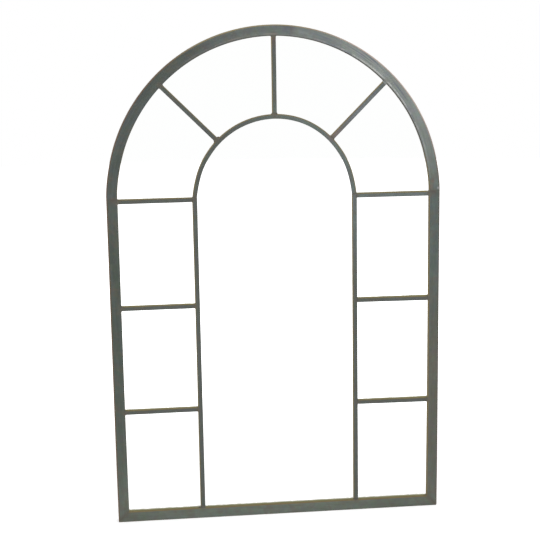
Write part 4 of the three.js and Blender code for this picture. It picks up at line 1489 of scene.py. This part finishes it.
CAMERA_PLACE = (-0.3461, -3.0499, 1.1836)
CAMERA_TURN = (6.216, -10.4835, -0.872)
CAMERA_LENS = 86.10


def seen_directly(nodes):
    """1 for what the camera, a reflection or clear glass sees, and 0 for the light that falls on things."""
    path = nodes.add("LightPath")
    return nodes.most(nodes.most(path["Is Camera Ray"], path["Is Glossy Ray"]), path["Is Transmission Ray"])


def white_room():
    """White wherever the camera or the mirror looks, and half as bright for the light that it gives."""
    world = bpy.data.worlds.new("white_room")
    bpy.context.scene.world = world
    world.use_nodes = True
    nodes = Nodes(world.node_tree, world.node_tree.nodes["Background"].inputs)
    nodes.send({"Color": (1, 1, 1, 1), "Strength": nodes.between(seen_directly(nodes), AMBIENT, 1.0)})


def pale_floor():
    """A pale floor that keeps the mirror's shadow near its foot and fades into the white room."""
    nodes = Finish("pale_floor")
    parts = nodes.parts(nodes.own_place())
    fade = nodes.eased_step(nodes.length(parts["X"], parts["Y"]), 0.45, 1.5, FLOOR_LIFT, 1.0)
    nodes.send({
        "Base Color": (0.8, 0.8, 0.8, 1), "Roughness": 0.9, "Specular IOR Level": 0.0,
        "Emission Color": (1, 1, 1, 1), "Emission Strength": nodes.times(fade, seen_directly(nodes))})
    points = [(FLOOR_R * math.cos(a), FLOOR_R * math.sin(a), 0.0) for a in angles_round(64)]
    floor = made_mesh("studio_floor", points, [tuple(range(len(points)))])
    floor.data.materials.append(nodes.material)


def lamps():
    """Softboxes that no reflection shows."""
    for name, (place, aim, size, power) in SOFTBOXES.items():
        light = bpy.data.lights.new(f"softbox_{name}", "AREA")
        light.shape = "RECTANGLE"
        light.size, light.size_y = size
        light.energy = power
        box = bpy.data.objects.new(f"softbox_{name}", light)
        bpy.context.scene.collection.objects.link(box)
        box.location = place
        box.rotation_euler = (Vector(aim) - Vector(place)).to_track_quat("-Z", "Y").to_euler()
        box.visible_glossy = False


def camera():
    """The photograph's camera, turned by its yaw, pitch and roll."""
    yaw, pitch, roll = (math.radians(a) for a in CAMERA_TURN)
    forward = Vector((math.sin(yaw) * math.cos(pitch), math.cos(yaw) * math.cos(pitch), math.sin(pitch)))
    level = Vector((math.cos(yaw), -math.sin(yaw), 0))
    upright = level.cross(forward)
    right = level * math.cos(roll) + upright * math.sin(roll)
    top = upright * math.cos(roll) - level * math.sin(roll)
    data = bpy.data.cameras.new("photo_camera")
    data.sensor_width = 36.0
    data.lens = CAMERA_LENS
    made = bpy.data.objects.new("photo_camera", data)
    bpy.context.scene.collection.objects.link(made)
    turn = Matrix((right, top, -forward)).transposed()
    made.matrix_world = Matrix.Translation(CAMERA_PLACE) @ turn.to_4x4()
    bpy.context.scene.camera = made


# ---- making it ---------------------------------------------------------------------------------

camera()
for make_effect in EFFECTS:
    make_effect()

# The frame's patches set the tone of its steel; the darker one on the left stile is a painted shade.
frame_steel = window_steel(
    "patinated_frame_steel", colour(80, 86, 79), colour(98, 84, 72), tan_reach=0.003, outer_reach=0.003,
    regions=[(0.0, 0.0, 0.75, 1.0, colour(103, 111, 101)), (0.4, 0.66, 0.26, 0.8, colour(86, 97, 94)),
             (0.4, 0.3, 0.36, 0.8, colour(90, 90, 81)), (-0.4, 0.5, 0.52, 0.95, colour(72, 80, 73))])
# Of the arch's patches, the darker one on its left is a painted shade and the pale one on its right shoulder
# a painted sheen; the small spots by the right spring joint are warm and pale, and the one at the top bluish.
arch_steel = window_steel(
    "patinated_arch_steel", colour(76, 82, 78), colour(94, 84, 70), tan_reach=0.0034, outer_reach=0.0032,
    streaks=0.72, is_arch=True,
    regions=[(-0.34, 1.0, 0.3, 0.9, colour(75, 82, 78)), (0.06, 1.2, 0.3, 0.9, colour(103, 110, 107)),
             (0.38, 0.92, 0.27, 0.9, colour(92, 103, 96)), (0.27, 1.07, 0.34, 0.95, colour(134, 140, 136)),
             (0.035, 1.187, 0.022, 0.6, colour(84, 88, 98)), (0.382, 0.822, 0.008, 0.45, colour(122, 92, 82)),
             (0.378, 0.81, 0.01, 0.4, colour(122, 96, 84)),
             (0.3965, 0.8055, 0.0045, 0.7, colour(170, 166, 166))])
# The bars' paler, bluer patches near the arch's right shoulder are painted sheen, and the warm spots are heat
# tint at welds. Their outer tones are a painted shade along the bars' lower edges and the right edges of the
# upright bars.
bar_steel = window_steel(
    "patinated_bar_steel", colour(84, 89, 84), colour(92, 82, 68), tan_reach=0.0026, outer_reach=0.0022,
    outer_tones=(colour(62, 65, 64), colour(56, 60, 66)),
    regions=[(0.3, 0.86, 0.36, 0.9, colour(102, 112, 111)), (0.12, 0.96, 0.24, 0.9, colour(101, 111, 106)),
             (0.2, 0.99, 0.09, 0.8, colour(111, 115, 119)), (0.145, 0.945, 0.03, 0.8, colour(122, 108, 106)),
             (0.0, 1.17, 0.03, 0.5, colour(106, 88, 80))])
weld_metal = weld_metal_finish()
back_steel = back_steel_finish()
zinc = zinc_finish()
foam = soft_black_finish("foam_tape", colour(24, 24, 24), colour(52, 52, 50), 1400.0, 0.9, 0.0006)
rubber = soft_black_finish("setting_rubber", colour(26, 26, 27), colour(46, 46, 46), 800.0, 0.72, 0.0002)

outer_frame(frame_steel, arch_steel)
inner_frame(bar_steel)
welds(weld_metal)
mirror_pane(silver_finish(), ground_edge_finish(), backing_paint_finish())
backing_board(hardboard_finish())
painted("glazing_tape", foam)
for side, _ in SIDES:
    eased(f"setting_block_{side}", rubber, 0.9)
clips(back_steel, zinc, weld_metal)
hanging_gear(back_steel, zinc, weld_metal)

white_room()
pale_floor()
lamps()

scene = bpy.context.scene
scene.view_settings.view_transform = "Standard"
